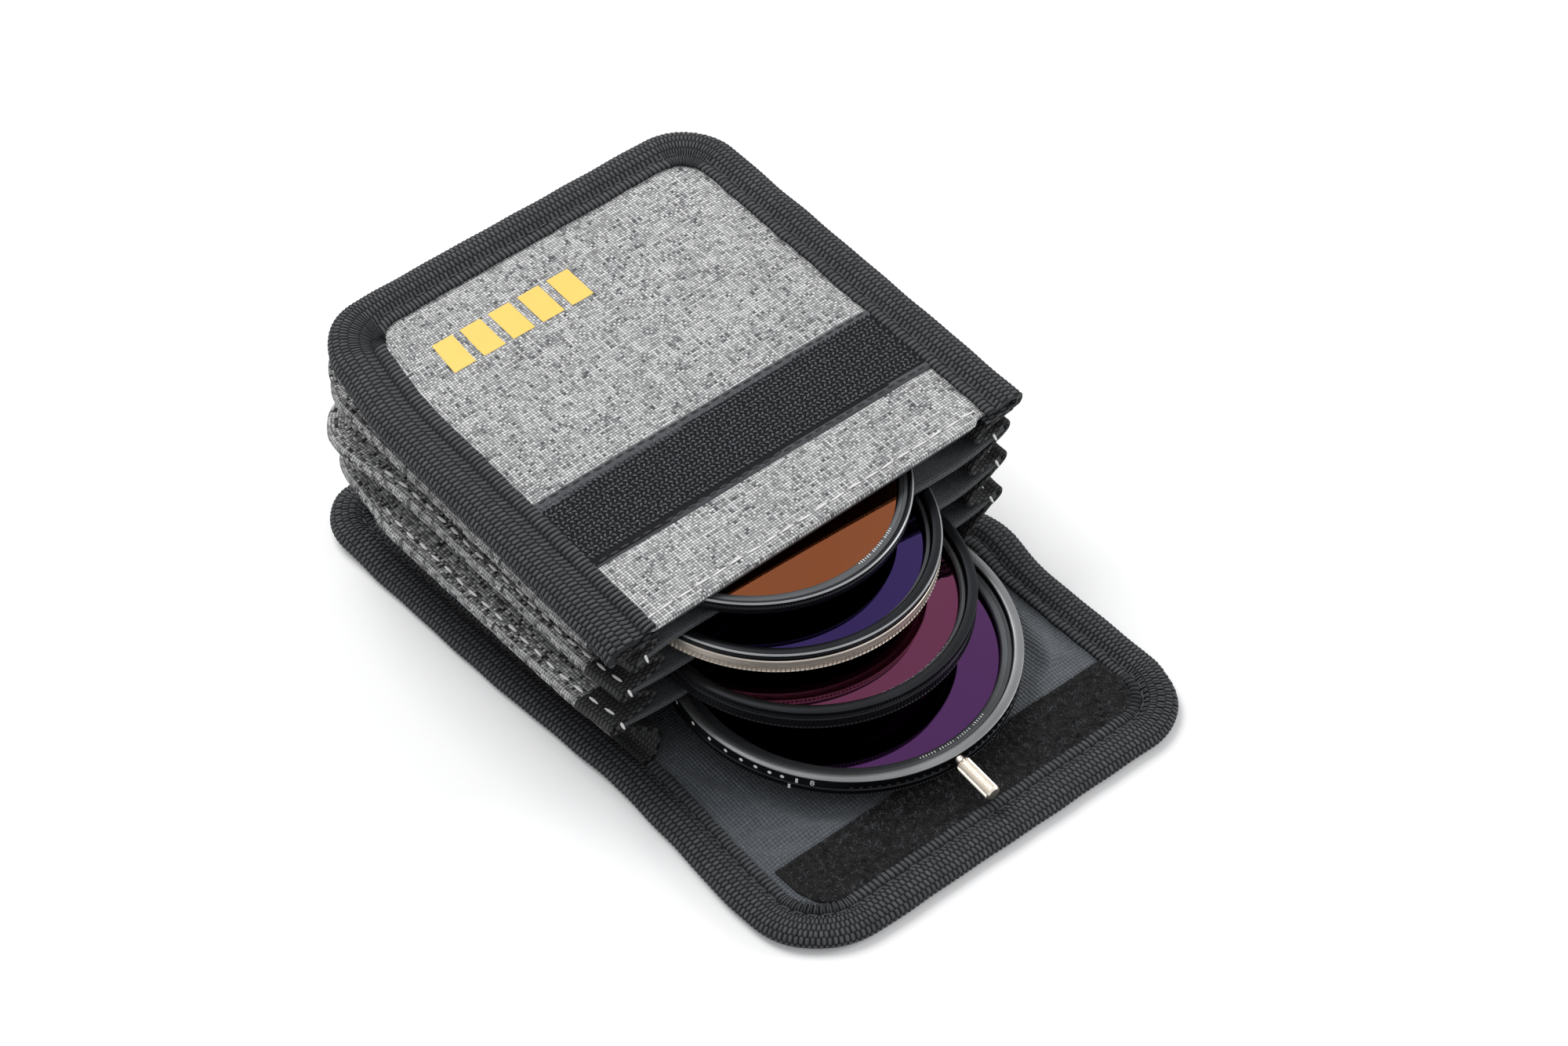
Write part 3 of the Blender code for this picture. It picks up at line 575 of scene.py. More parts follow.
def painted(name, colour):
    look, tree, shader = new_material(name, 0.45)
    finished(tree, shader, coordinates(tree), colour, 0.15, 0.0)
    bump(tree, cloud(tree, coordinates(tree), 1500.0, 2.0), 0.00002, shader)
    return look


# painted highlight: the pale line along each upper pleat's fold is painted at this girth
FOLD_GIRTH = 24.1 * MM  # the outer edge of a ridge, along the girth of a pleat's cloth
# Cloths: the material's name, dark and pale thread, pitch of warp and weft in mm, streak length,
# contrast, depth in mm, roughness, sheen, unevenness, specks, light in the hollows (painted
# shade there), mottle, and for the upper pleats the girth of a painted highlight on the fold
CLOTHS = {
    "heather": ("heather_cloth", (0.11, 0.112, 0.122), (0.85, 0.85, 0.845), (0.76, 0.7), 8.0,
                (0.37, 0.57), 0.4, 0.85, 0.05, 0.3, 0.03, 0.02, 0.34),
    "gusset": ("dark_heather_cloth", (0.015, 0.015, 0.018), (0.66, 0.66, 0.66), (0.78, 0.78), 4.0,
               (0.4, 0.62), 0.4, 0.9, 0.03, 0.3, 0.05, 0.02, 0.55, FOLD_GIRTH),
    # painted shade: the lowest pleat, under the ridge above it, is a darker copy of the gusset
    # cloth
    "low_gusset": ("shaded_heather_cloth", (0.015, 0.015, 0.018), (0.5, 0.5, 0.5), (0.78, 0.78),
                   4.0, (0.4, 0.62), 0.4, 0.9, 0.03, 0.3, 0.05, 0.02, 0.55),
    "lining": ("slate_lining", (0.07, 0.079, 0.09), (0.135, 0.15, 0.168), (0.95, 0.95), 6.0,
               (0.3, 0.7), 0.3, 0.42, 0.3, 0.25, 0.02, 0.22, 0.2),
    "nylon": ("black_nylon", (0.034, 0.038, 0.042), (0.078, 0.085, 0.093), (0.62, 0.62), 4.0,
              (0.3, 0.7), 0.2, 0.5, 0.3, 0.2, 0.02, 0.15, 0.2),
    "selvedge": ("hook_tape_edge", (0.052, 0.056, 0.061), (0.09, 0.096, 0.104), (0.4, 0.4), 4.0,
                 (0.3, 0.7), 0.1, 0.6, 0.2, 0.15, 0.02, 0.5, 0.2),
    "hook_base": ("hook_tape", (0.003, 0.003, 0.004), (0.01, 0.011, 0.012), (0.7, 0.7), 3.0,
                  (0.3, 0.7), 0.15, 0.9, 0.0, 0.1, 0.0, 0.32, 0.2),
}
LOOKS = {
    **{look: woven(*row) for look, row in CLOTHS.items()},
    "webbing": ribbed("black_webbing", (0.024, 0.025, 0.028), (0.11, 0.115, 0.125)),
    "facing": ribbed("black_facing", (0.016, 0.0165, 0.017), (0.06, 0.062, 0.065), 1.1, 1.4, 1.4),
    "hook": pile_look("hook_bristles", (0.08, 0.085, 0.094), (0.14, 0.147, 0.161)),
    "loop": pile_look("loop_pile", (0.004, 0.004, 0.005), (0.15, 0.155, 0.168)),
    "loop_base": pile_look("loop_ground", (0.003, 0.003, 0.003), (0.009, 0.009, 0.01)),
    "white_thread": thread_look("white_thread", (0.93, 0.93, 0.9)),
    "dark_thread": thread_look("dark_thread", (0.035, 0.037, 0.038)),
    "black_thread": thread_look("black_thread", (0.012, 0.012, 0.014)),
    "white_paint": painted("white_paint", (0.93, 0.93, 0.91)),
    "yellow_print": painted("yellow_print", (0.88, 0.6, 0.11)),
    "amber": coated_glass("amber_glass", (0.26, 0.073, 0.023)),
    "blue": coated_glass("blue_glass", (0.03, 0.015, 0.1)),
    "magenta": coated_glass("magenta_glass", (0.13, 0.026, 0.07)),
    "purple": coated_glass("purple_glass", (0.072, 0.019, 0.1)),
}
for index in FILTERS:
    for look, name, *rest in (
        ("black", "black_anodised", (0.021, 0.022, 0.025), 0.32),
        # painted highlight: the lighter metal of the rings' top bevels
        ("edge", "highlight_edge", (0.3, 0.31, 0.32), 0.3),
        ("grey", "grey_anodised", (0.085, 0.09, 0.096), 0.42, 0.6),
    ):
        LOOKS[f"{look}_{index}"] = metal(f"{name}_{index}", index, *rest)
LOOKS["champagne"] = metal("champagne_metal", 2, (0.64, 0.58, 0.51), 0.36, 0.75)
LOOKS["pin"] = metal("pin_metal", 4, (0.74, 0.68, 0.6), 0.3, 1.0, 0.0006, 0.0)
LOOKS["rim"] = metal("grey_rim", 4, (0.23, 0.235, 0.24), 0.34, 0.85)


# Mesh helpers
def assign_where(piece, test):
    """Give the faces that pass a test of place and normal the piece's second material."""
    for face in piece.data.polygons:
        if test(face.center / MM, face.normal):
            face.material_index = 1


def deselect():
    bpy.ops.object.select_all(action="DESELECT")


def make_active(piece):
    deselect()
    piece.select_set(True)
    bpy.context.view_layer.objects.active = piece


def shaded(piece, look, body=None, angle=35, slot=None, replaces=()):
    """Smooth shading, a material, the body that it rides on and the nodes it stands for."""
    make_active(piece)
    bpy.ops.object.shade_smooth_by_angle(angle=math.radians(angle))
    chosen = [face.material_index for face in piece.data.polygons]
    piece.data.materials.clear()
    for each in [look] if isinstance(look, str) else look:
        piece.data.materials.append(LOOKS[each])
    piece.data.polygons.foreach_set("material_index", chosen)
    if body is not None:
        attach(piece, body)
    if replaces:
        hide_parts(*replaces)
    return piece


def new_piece(name, points, faces):
    """A mesh through points in millimetres."""
    mesh = bpy.data.meshes.new(name)
    mesh.from_pydata((points * MM).tolist(), [], faces)
    piece = bpy.data.objects.new(name, mesh)
    bpy.context.scene.collection.objects.link(piece)
    return piece


def corner_vertices(mesh):
    found = np.zeros(len(mesh.loops), np.int32)
    mesh.loops.foreach_get("vertex_index", found)
    return found


def set_uv(mesh, flat):
    layer = mesh.uv_layers.new(name="cloth")
    layer.data.foreach_set("uv", flat.astype(np.float32).ravel())


def from_grid(name, points, uv, closed=False):
    """A skin through a grid of points (along, across, 3), with its UV map.

    A closed one joins its last column to its first, and has caps at its two ends.
    """
    along, across = points.shape[:2]
    r, c = np.meshgrid(np.arange(along - 1), np.arange(across if closed else across - 1),
                       indexing="ij")
    c2 = (c + 1) % across
    quads = np.stack([r * across + c, r * across + c2, (r + 1) * across + c2,
                      (r + 1) * across + c], -1).reshape(-1, 4)
    faces = quads.tolist()
    if closed:
        faces.append(list(range(across))[::-1])
        faces.append([(along - 1) * across + i for i in range(across)])
    piece = new_piece(name, points.reshape(-1, 3), faces)
    flat = uv.reshape(-1, 2)[corner_vertices(piece.data)] * MM
    if closed:
        wrapped = np.repeat((c == across - 1).ravel(), 4)
        late = np.tile(np.array([False, True, True, False]), len(quads))
        step = uv[0, 1, 0] - uv[0, 0, 0]
        flat[:len(wrapped), 0] += np.where(wrapped & late, across * step * MM, 0)
    set_uv(piece.data, flat)
    return piece


def recalculate(piece, merged=None):
    """Turn the faces outwards, after merging points that lie nearer than a given distance."""
    make_active(piece)
    bpy.ops.object.mode_set(mode="EDIT")
    bpy.ops.mesh.select_all(action="SELECT")
    if merged is not None:
        bpy.ops.mesh.remove_doubles(threshold=merged)
    bpy.ops.mesh.normals_make_consistent(inside=False)
    bpy.ops.object.mode_set(mode="OBJECT")


def modified(piece, kind, **settings):
    """Apply one modifier."""
    make_active(piece)
    change = piece.modifiers.new("change", kind)
    for label, value in settings.items():
        setattr(change, label, value)
    bpy.ops.object.modifier_apply(modifier=change.name)


def thicken(piece, thickness, offset):
    modified(piece, "SOLIDIFY", thickness=thickness * MM, offset=offset, use_rim=True)


def cut_corners(points, times):
    """Round a line of points by cutting its corners, with its two ends kept."""
    points = np.array(points, float)
    for _ in range(times):
        near = points[:-1] * 0.75 + points[1:] * 0.25
        far = points[:-1] * 0.25 + points[1:] * 0.75
        middle = np.stack([near, far], 1).reshape(-1, points.shape[1])
        points = np.vstack([points[:1], middle, points[-1:]])
    return points


def run_along(points):
    """The length of a line of points, up to each of them."""
    steps = np.linalg.norm(np.diff(points, axis=0), axis=1)
    return np.concatenate([[0], np.cumsum(steps)])


def at_lengths(places, length, points):
    return np.stack([np.interp(places, length, column) for column in points.T], -1)


def evenly(points, count, scale=1.0):
    """The same line with evenly spaced points, and the length at each."""
    length = run_along(points * scale)
    places = np.linspace(0, length[-1], count)
    return at_lengths(places, length, points), places


def edge_path(half, near, far, near_corner, far_corner, step):
    """Places along a sheet's edge with the way inwards: x, y, inward x, inward y, corner share.

    Without a near corner the path runs from the near end on the left round to the right.
    """
    rows = []

    def line(x0, y0, x1, y1, nx, ny):
        count = max(2, int(round(math.hypot(x1 - x0, y1 - y0) / step)))
        for i in range(count):
            t = i / count
            rows.append((x0 + (x1 - x0) * t, y0 + (y1 - y0) * t, nx, ny, 0.0))

    def bend(cx, cy, radius, first, last):
        count = max(8, int(round(math.radians(abs(last - first)) * radius / step)))
        for i in range(count):
            t = i / count
            angle = math.radians(first + (last - first) * t)
            c, s = math.cos(angle), math.sin(angle)
            rows.append((cx + radius * c, cy + radius * s, -c, -s, math.sin(math.pi * t)))

    low = near + near_corner
    line(-half, low, -half, far - far_corner, 1, 0)
    bend(-half + far_corner, far - far_corner, far_corner, 180, 90)
    line(-half + far_corner, far, half - far_corner, far, 0, -1)
    bend(half - far_corner, far - far_corner, far_corner, 90, 0)
    line(half, far - far_corner, half, low, -1, 0)
    if near_corner:
        bend(half - near_corner, low, near_corner, 0, -90)
        line(half - near_corner, near, -half + near_corner, near, 0, 1)
        bend(-half + near_corner, low, near_corner, 270, 180)
    else:
        rows.append((half, near, -1, 0, 0.0))
    return np.array(rows)


def inwards(path, inset):
    """Places that lie an inset further in than each place on an edge path."""
    return (path[:, 0][:, None] + path[:, 2][:, None] * inset,
            path[:, 1][:, None] + path[:, 3][:, None] * inset)


# Bindings: folded tape round the edges of a sheet. The section is (inset, rise), from the inner
# lip over the roll to the underside, and then the slot that grips the sheet
BAND_TOP = [(11.4, 2.75), (11.3, 3.35), (10.8, 3.66), (9.6, 3.78), (8.7, 3.62), (8.15, 3.12),
            (7.85, 3.06), (7.4, 3.5), (6.5, 4.0), (4.9, 4.25), (2.9, 4.2), (1.0, 3.85),
            (-0.15, 3.0), (-0.45, 2.0), (-0.2, 0.9), (0.7, 0.15), (2.4, 0.0)]
BAND_UNDER = [(2.4, 0.0), (6.0, 0.0), (10.8, 0.0), (11.4, 0.12)]
BAND_SLOT = [(11.5, 0.65), (11.0, 0.72), (6.0, 0.75), (2.2, 0.8), (1.6, 1.4), (1.6, 2.2),
             (2.2, 2.75), (6.0, 2.6), (7.5, 2.45), (9.0, 2.7), (11.0, 2.7)]


def bars(girth, length):
    """Height of the woven bars, 0 to 1, in the same rows as the webbing's material."""
    past = (girth - WIDE_ROW) / ROW_WIDTH
    row = np.where(past > 0, np.floor(past) + 1, 0)
    across = np.where(past > 0, past % 1.0, girth / WIDE_ROW)
    along = (length / BAR_PITCH + 0.5 * row) % 1.0
    return np.sin(math.pi * across) ** 0.2 * np.sin(math.pi * along) ** 0.7


def to_opening(path, left, right, end, radius):
    """How far inwards from each place on an edge path a round-cornered opening begins."""
    middle, half = (left + right) / 2, (right - left) / 2 - radius
    reach = np.zeros(len(path))
    for _ in range(60):
        across = np.abs(path[:, 0] + path[:, 2] * reach - middle) - half
        along = path[:, 1] + path[:, 3] * reach - (end - radius)
        outside = np.hypot(np.maximum(across, 0), np.maximum(along, 0))
        reach = reach + outside + np.minimum(np.maximum(across, along), 0) - radius
    return reach


def binding(name, path, in_front, swell, warp):
    """Folded webbing: a fat roll outside, a stitched groove and a flat band inside."""
    skin, _ = evenly(cut_corners(BAND_TOP, 3), 50)
    woven_columns = 48
    under, _ = evenly(np.array(BAND_UNDER), 7)
    slot, _ = evenly(cut_corners(BAND_SLOT, 2), 14)
    section = np.vstack([skin, under[1:], slot])
    girth = run_along(section)[None, :]
    way = np.gradient(section, axis=0)
    outward = np.stack([way[:, 1], -way[:, 0]], 1)
    outward /= np.linalg.norm(outward, axis=1)[:, None]
    length = run_along(path[:, :2])
    s = length[:, None]
    woven_part = np.arange(len(section)) < woven_columns
    sunk = np.where(woven_part, BAR_DEPTH * (1 - bars(girth, s)), 0.0)
    inset = section[None, :, 0] - outward[None, :, 0] * sunk
    rise = section[None, :, 1] - outward[None, :, 1] * sunk
    outer = np.clip(1 - np.abs(inset) / 5.0, 0, 1)
    inner = np.clip((inset - 6.5) / 3.5, 0, 1)
    upper = np.clip((rise - 1.4) / 1.6, 0, 1)
    corner = path[:, 4][:, None]
    inset = inset + 0.3 * ripple(s, 0 * inset, 1.3, 17.0) * outer
    inset = inset + upper * inner * (0.3 * ripple(s, 0 * inset, 2.2, 11.0)
                                     + 0.2 * corner * np.sin(s * 1.9))
    rise = rise + upper * (swell * np.clip(1 - np.abs(inset - 3.5) / 4.0, 0, 1)
                           + 0.2 * ripple(s, inset, 4.4, 21.0)
                           + (0.12 if in_front else 0.35) * corner * (0.4 + inner)
                           * np.sin(s * 2.4 + 0.6))
    if in_front:
        wider = to_opening(path, -HALF_WIDTH + BAND_WIDTH + 3.0, HALF_WIDTH - BAND_WIDTH,
                           FRONT_DEPTH - BAND_WIDTH, 7.5)
        inset = inset + (wider[:, None] - BAND_WIDTH) * smooth((inset - 3.0) / 8.0)
    x, y = inwards(path, inset)
    z = surface("front", x, y, rise) if in_front else rise + 0 * x
    points = warp(np.stack([x, y + MOUTH_Y, z], -1))
    piece = from_grid(name, points, np.stack([girth + 0 * s, s + 0 * girth], -1), closed=True)
    recalculate(piece)
    return piece, float(length[-1])


def settle(points):
    """By the mouth the bottom sheet's right edge is pushed out and up, the left one a little."""
    x, y = points[..., 0], points[..., 1] - MOUTH_Y
    side = np.clip((np.abs(x) - 38) / 20, 0, 1)
    near = np.exp(-(((y - 4.0) / 11.0) ** 2)) * side
    tail = np.clip((-y - 12.0) / 40.0, 0, 1) * np.clip((y + 73.0) / 14.0, 0, 1) * side
    moved = np.array(points, float)
    left = 0.3 + 1.8 * np.exp(-(((y - 5) / 30.0) ** 2)) - 1.3 * smooth((-y - 15) / 30)
    moved[..., 0] += np.where(x > 0, 1.9 * near - 1.5 * tail, left * smooth((-x - 20) / 35))
    moved[..., 1] += 1.3 * smooth((-y - 40) / 30)
    corner = smooth((y - 90) / 25) * smooth((-x - 30) / 25)
    moved[..., 1] += 2.2 * corner
    moved[..., 2] += 1.2 * corner
    moved[..., 2] += np.where(x > 0, 2.0, 0.3) * near
    return moved


# Cloth sheets
def corner_reach(x, half, end, way, radius):
    """Where a rounded sheet ends at each x."""
    over = np.clip(np.abs(x) - (half - radius), 0, radius)
    return end - way * (radius - np.sqrt(np.maximum(radius ** 2 - over ** 2, 0)))


def cloth_sheet(name, half, near, far, corners, counts, top, bottom, warp=None, free_edge=None):
    """A closed sheet between two height functions.

    A free edge, given by its width, is rounded and its points lie closer together.
    """
    nx, ny = counts
    xs = np.linspace(-half, half, nx)
    t = np.linspace(0, 1, ny)
    if free_edge:
        t = t ** 1.8
    x = np.repeat(xs[None, :], ny, 0)
    low = corner_reach(x, half, near, -1, corners[0]) if corners[0] else near + 0 * x
    high = corner_reach(x, half, far, 1, corners[1]) if corners[1] else far + 0 * x
    y = low + t[:, None] * (high - low)
    upper, lower = top(x, y), bottom(x, y)
    if free_edge:
        share = np.clip((y - near) / free_edge, 0, 1)
        part = np.sqrt(np.clip(1 - (1 - share) ** 2, 0, 1))
        middle = (upper + lower) / 2
        upper, lower = middle + (upper - middle) * part, middle - (middle - lower) * part
    skin = np.stack([x, y + MOUTH_Y, upper], -1)
    under = np.stack([x, y + MOUTH_Y, lower], -1)
    if warp is not None:
        skin, under = warp(skin), warp(under)
    total = nx * ny
    r, c = np.meshgrid(np.arange(ny - 1), np.arange(nx - 1), indexing="ij")
    a, b = r * nx + c, r * nx + c + 1
    d, e = (r + 1) * nx + c, (r + 1) * nx + c + 1
    faces = np.stack([a, b, e, d], -1).reshape(-1, 4).tolist()
    faces += np.stack([a + total, d + total, e + total, b + total], -1).reshape(-1, 4).tolist()
    rim = [*range(nx), *[i * nx + nx - 1 for i in range(1, ny)],
           *[(ny - 1) * nx + i for i in range(nx - 2, -1, -1)],
           *[i * nx for i in range(ny - 2, 0, -1)]]
    for i, first in enumerate(rim):
        second = rim[(i + 1) % len(rim)]
        faces.append([second, first, first + total, second + total])
    piece = new_piece(name, np.concatenate([skin.reshape(-1, 3), under.reshape(-1, 3)]), faces)
    flat = np.stack([x, y], -1).reshape(-1, 2)
    set_uv(piece.data, np.concatenate([flat, flat])[corner_vertices(piece.data)] * MM)
    recalculate(piece, merged=0.01 * MM)
    return piece


# Rows of small things that are modelled once and copied
def small_shape(kind):
    """A stitch, a hook or a curl of pile, about 1 mm long, lying along X with Z up."""
    deselect()
    if kind == "stitch":
        bpy.ops.mesh.primitive_uv_sphere_add(segments=10, ring_count=7, radius=0.5)
    elif kind == "hook":
        bpy.ops.mesh.primitive_circle_add(vertices=6, radius=0.25)
        bpy.ops.object.mode_set(mode="EDIT")
        bpy.ops.mesh.select_all(action="SELECT")
        bpy.ops.mesh.extrude_edges_move(TRANSFORM_OT_translate={"value": (0, 0, 0.12)})
        bpy.ops.mesh.spin(steps=4, angle=math.radians(-175), center=(0.3, 0, 0.12), axis=(0, 1, 0))
        bpy.ops.mesh.select_all(action="SELECT")
        bpy.ops.mesh.remove_doubles(threshold=0.001)
        bpy.ops.mesh.fill_holes(sides=8)
        bpy.ops.mesh.normals_make_consistent(inside=False)
        bpy.ops.object.mode_set(mode="OBJECT")
    else:
        bpy.ops.mesh.primitive_cone_add(vertices=4, radius1=0.5, radius2=0.32, depth=1.0)
    piece = bpy.context.active_object
    if kind == "stitch":
        piece.rotation_euler.y = math.radians(90)
        bpy.ops.object.transform_apply()
    mesh = piece.data
    co = np.array([v.co for v in mesh.vertices])
    faces = [list(f.vertices) for f in mesh.polygons]
    bpy.data.objects.remove(piece)
    return co, faces


def copies(name, base, frames):
    """One mesh of many copies; each frame is (place, x way, y way, z way) in millimetres."""
    co, faces = base
    verts, all_faces = [], []
    for i, (place, x_way, y_way, z_way) in enumerate(frames):
        basis = np.stack([x_way, y_way, z_way])
        verts.append(co @ basis + place)
        all_faces += [[index + i * len(co) for index in face] for face in faces]
    return new_piece(name, np.concatenate(verts), all_faces)


def stitch_row(name, line, pitch, length, width, lift, up=(0, 0, 1)):
    """Stitches along a line of places (n, 3), each laid between two places on the line."""
    run = run_along(line)
    frames = []
    up = np.array(up, float)
    count = int(run[-1] / pitch)
    for i in range(count):
        middle = (i + 0.5) * run[-1] / count
        a = at_lengths(middle - length / 2, run, line)
        b = at_lengths(middle + length / 2, run, line)
        way = b - a
        span = np.linalg.norm(way)
        side = np.cross(up, way)
        side = side / np.linalg.norm(side)
        high = np.cross(way / span, side)
        swing = 0.10 * math.sin(i * 2.7)
        place = (a + b) / 2 + high * lift + side * swing
        frames.append((place, way * 1.04 + side * 0.25 * math.sin(i * 1.9), side * width,
                       high * width * STITCH_HEIGHT))
    return copies(name, small_shape("stitch"), frames)


# The bottom sheet: back panel and flap in one, with its lining and one binding round it
def bottom_sheet():
    extent = (SHEET_HALF, -71.2, 120.2, (FLAP_SHEET_CORNER, POUCH_SHEET_CORNER))
    step = BAR_PITCH / 4
    rear = edge_path(HALF_WIDTH, 0.0, POUCH_DEPTH, 0.0, POUCH_CORNER, step)
    nose = edge_path(HALF_WIDTH, 0.0, FLAP_LENGTH, 0.0, FLAP_CORNER, step)
    nose = nose * np.array([1, -1, 1, -1, 1])
    for name, path, node in (("back_edge_binding", rear, "back_binding"),
                             ("flap_edge_binding", nose, "flap_binding")):
        edge, length = binding(name, path, False, 0.0, settle)
        shaded(edge, "webbing", slot="webbing", replaces=(node,), angle=60)
        across_fold(edge)

    def outer_low(x, y):
        edge_share = np.clip((51.0 - np.abs(x)) / 3.0, 0, 1)
        ends = np.clip(np.minimum(POUCH_DEPTH - 12 - y, y + FLAP_LENGTH - 12) / 3.0, 0, 1)
        return 0.95 - (0.85 - 0.12 * ripple(x, y, 0.7, 40.0)) * np.minimum(edge_share, ends)

    outer = cloth_sheet("bottom_cloth", *extent, (90, 130), level(1.9), outer_low, settle)
    shaded(outer, "heather", slot="heather", replaces=("back_panel", "flap_panel"), angle=60)
    across_fold(outer)

    tension = [
        (-50, -10, -36, -34, 2.4, 0.55), (-50, -22, -33, -40, 2.0, 0.5),
        (-47, -3, -40, -30, 2.2, -0.45), (-50, -33, -28, -43, 2.0, 0.5),
        (-40, -36, -20, -43, 1.6, -0.35), (50, -14, 41, -38, 2.2, 0.6),
        (51, -24, 38, -43, 2.0, 0.55), (50, -8, 44, -28, 1.8, -0.4),
        (51, -34, 30, -43, 1.9, 0.5), (46, -38, 26, -43.5, 1.5, -0.3),
        (-18, -43, 20, -43, 1.6, 0.2), (-51, -40, -40, -44, 1.7, 0.4),
    ]

    def lining_top(x, y):
        held = np.clip((50.5 - np.abs(x)) / 4.0, 0, 1)
        soft = 0.18 * ripple(x, y, 2.1, 26.0) + 0.07 * ripple(x, y, 5.3, 9.0)
        crease = 1.6 * folds(x, y, tension)
        seam = np.clip((np.abs(y + 53) - 8.0) / 3.0, 0, 1)
        return 2.62 + held * seam * (0.1 + soft + crease) * (y < 0) + held * (y >= 0) * 0.1

    lining = cloth_sheet("bottom_lining", *extent, (200, 300), lining_top,
                         lambda x, y: lining_top(x, y) - 0.5, settle)
    shaded(lining, "lining", slot="lining", replaces=("back_lining", "flap_lining"), angle=60)
    across_fold(lining)

    seam = edge_path(HALF_WIDTH - SEAM_INSET, -FLAP_LENGTH + SEAM_INSET, POUCH_DEPTH - SEAM_INSET,
                     FLAP_CORNER - SEAM_INSET, POUCH_CORNER - SEAM_INSET, 0.8)
    line = np.stack([seam[:, 0], seam[:, 1] + MOUTH_Y, 3.0 + 0 * seam[:, 0]], -1)
    row = stitch_row("bottom_seam_outer", settle(line), 3.4, 2.5, 0.55, 0.1)
    shaded(row, "dark_thread", slot="webbing")
    across_fold(row)


def across_fold(piece):
    """Cloth that crosses the line where the flap folds down: its transform is baked in."""
    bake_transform(piece)


def loop_strip():
    """The ground of the loop tape, and pile that leans every way and thins at the rounded ends."""
    near, far = LOOP_STRIP
    half, corner = 50.8, 9.0
    base = cloth_sheet("loop_strip", half, near, far, (corner, 0), (60, 20),
                       lambda x, y: 3.3 + 0.08 * ripple(x, y, 1.9, 12.0), level(2.95))
    shaded(base, "loop_base", "flap", slot="loop", replaces=("flap_loop_strip",), angle=60)
    rng = np.random.default_rng(11)
    frames = []
    count = 5200
    xs = rng.uniform(-50.2, 50.2, count)
    ys = rng.uniform(near + 0.3, far - 0.2, count)
    reach = corner_reach(xs, half, near, -1, corner)
    clump = ripple(xs, ys, 3.7, 5.0)
    for x, y, limit, tuft in zip(xs, ys, reach, clump):
        if y < limit + 0.4:
            continue
        lean = rng.normal(0, 0.75, 2)
        up = np.array([lean[0], lean[1], 1.0])
        up /= np.linalg.norm(up)
        side = np.cross(up, [0.3, 1.0, 0.2])
        side /= np.linalg.norm(side)
        front = np.cross(up, side)
        length = rng.uniform(0.7, 1.3) + 0.35 * tuft
        width = rng.uniform(0.09, 0.16)
        place = np.array([x, y + MOUTH_Y, 3.2 + 0.42 * length])
        frames.append((place, side * width, front * width, up * length))
    pile = copies("loop_pile", small_shape("pile"), frames)
    shaded(pile, "loop", "flap", slot="loop", angle=80)


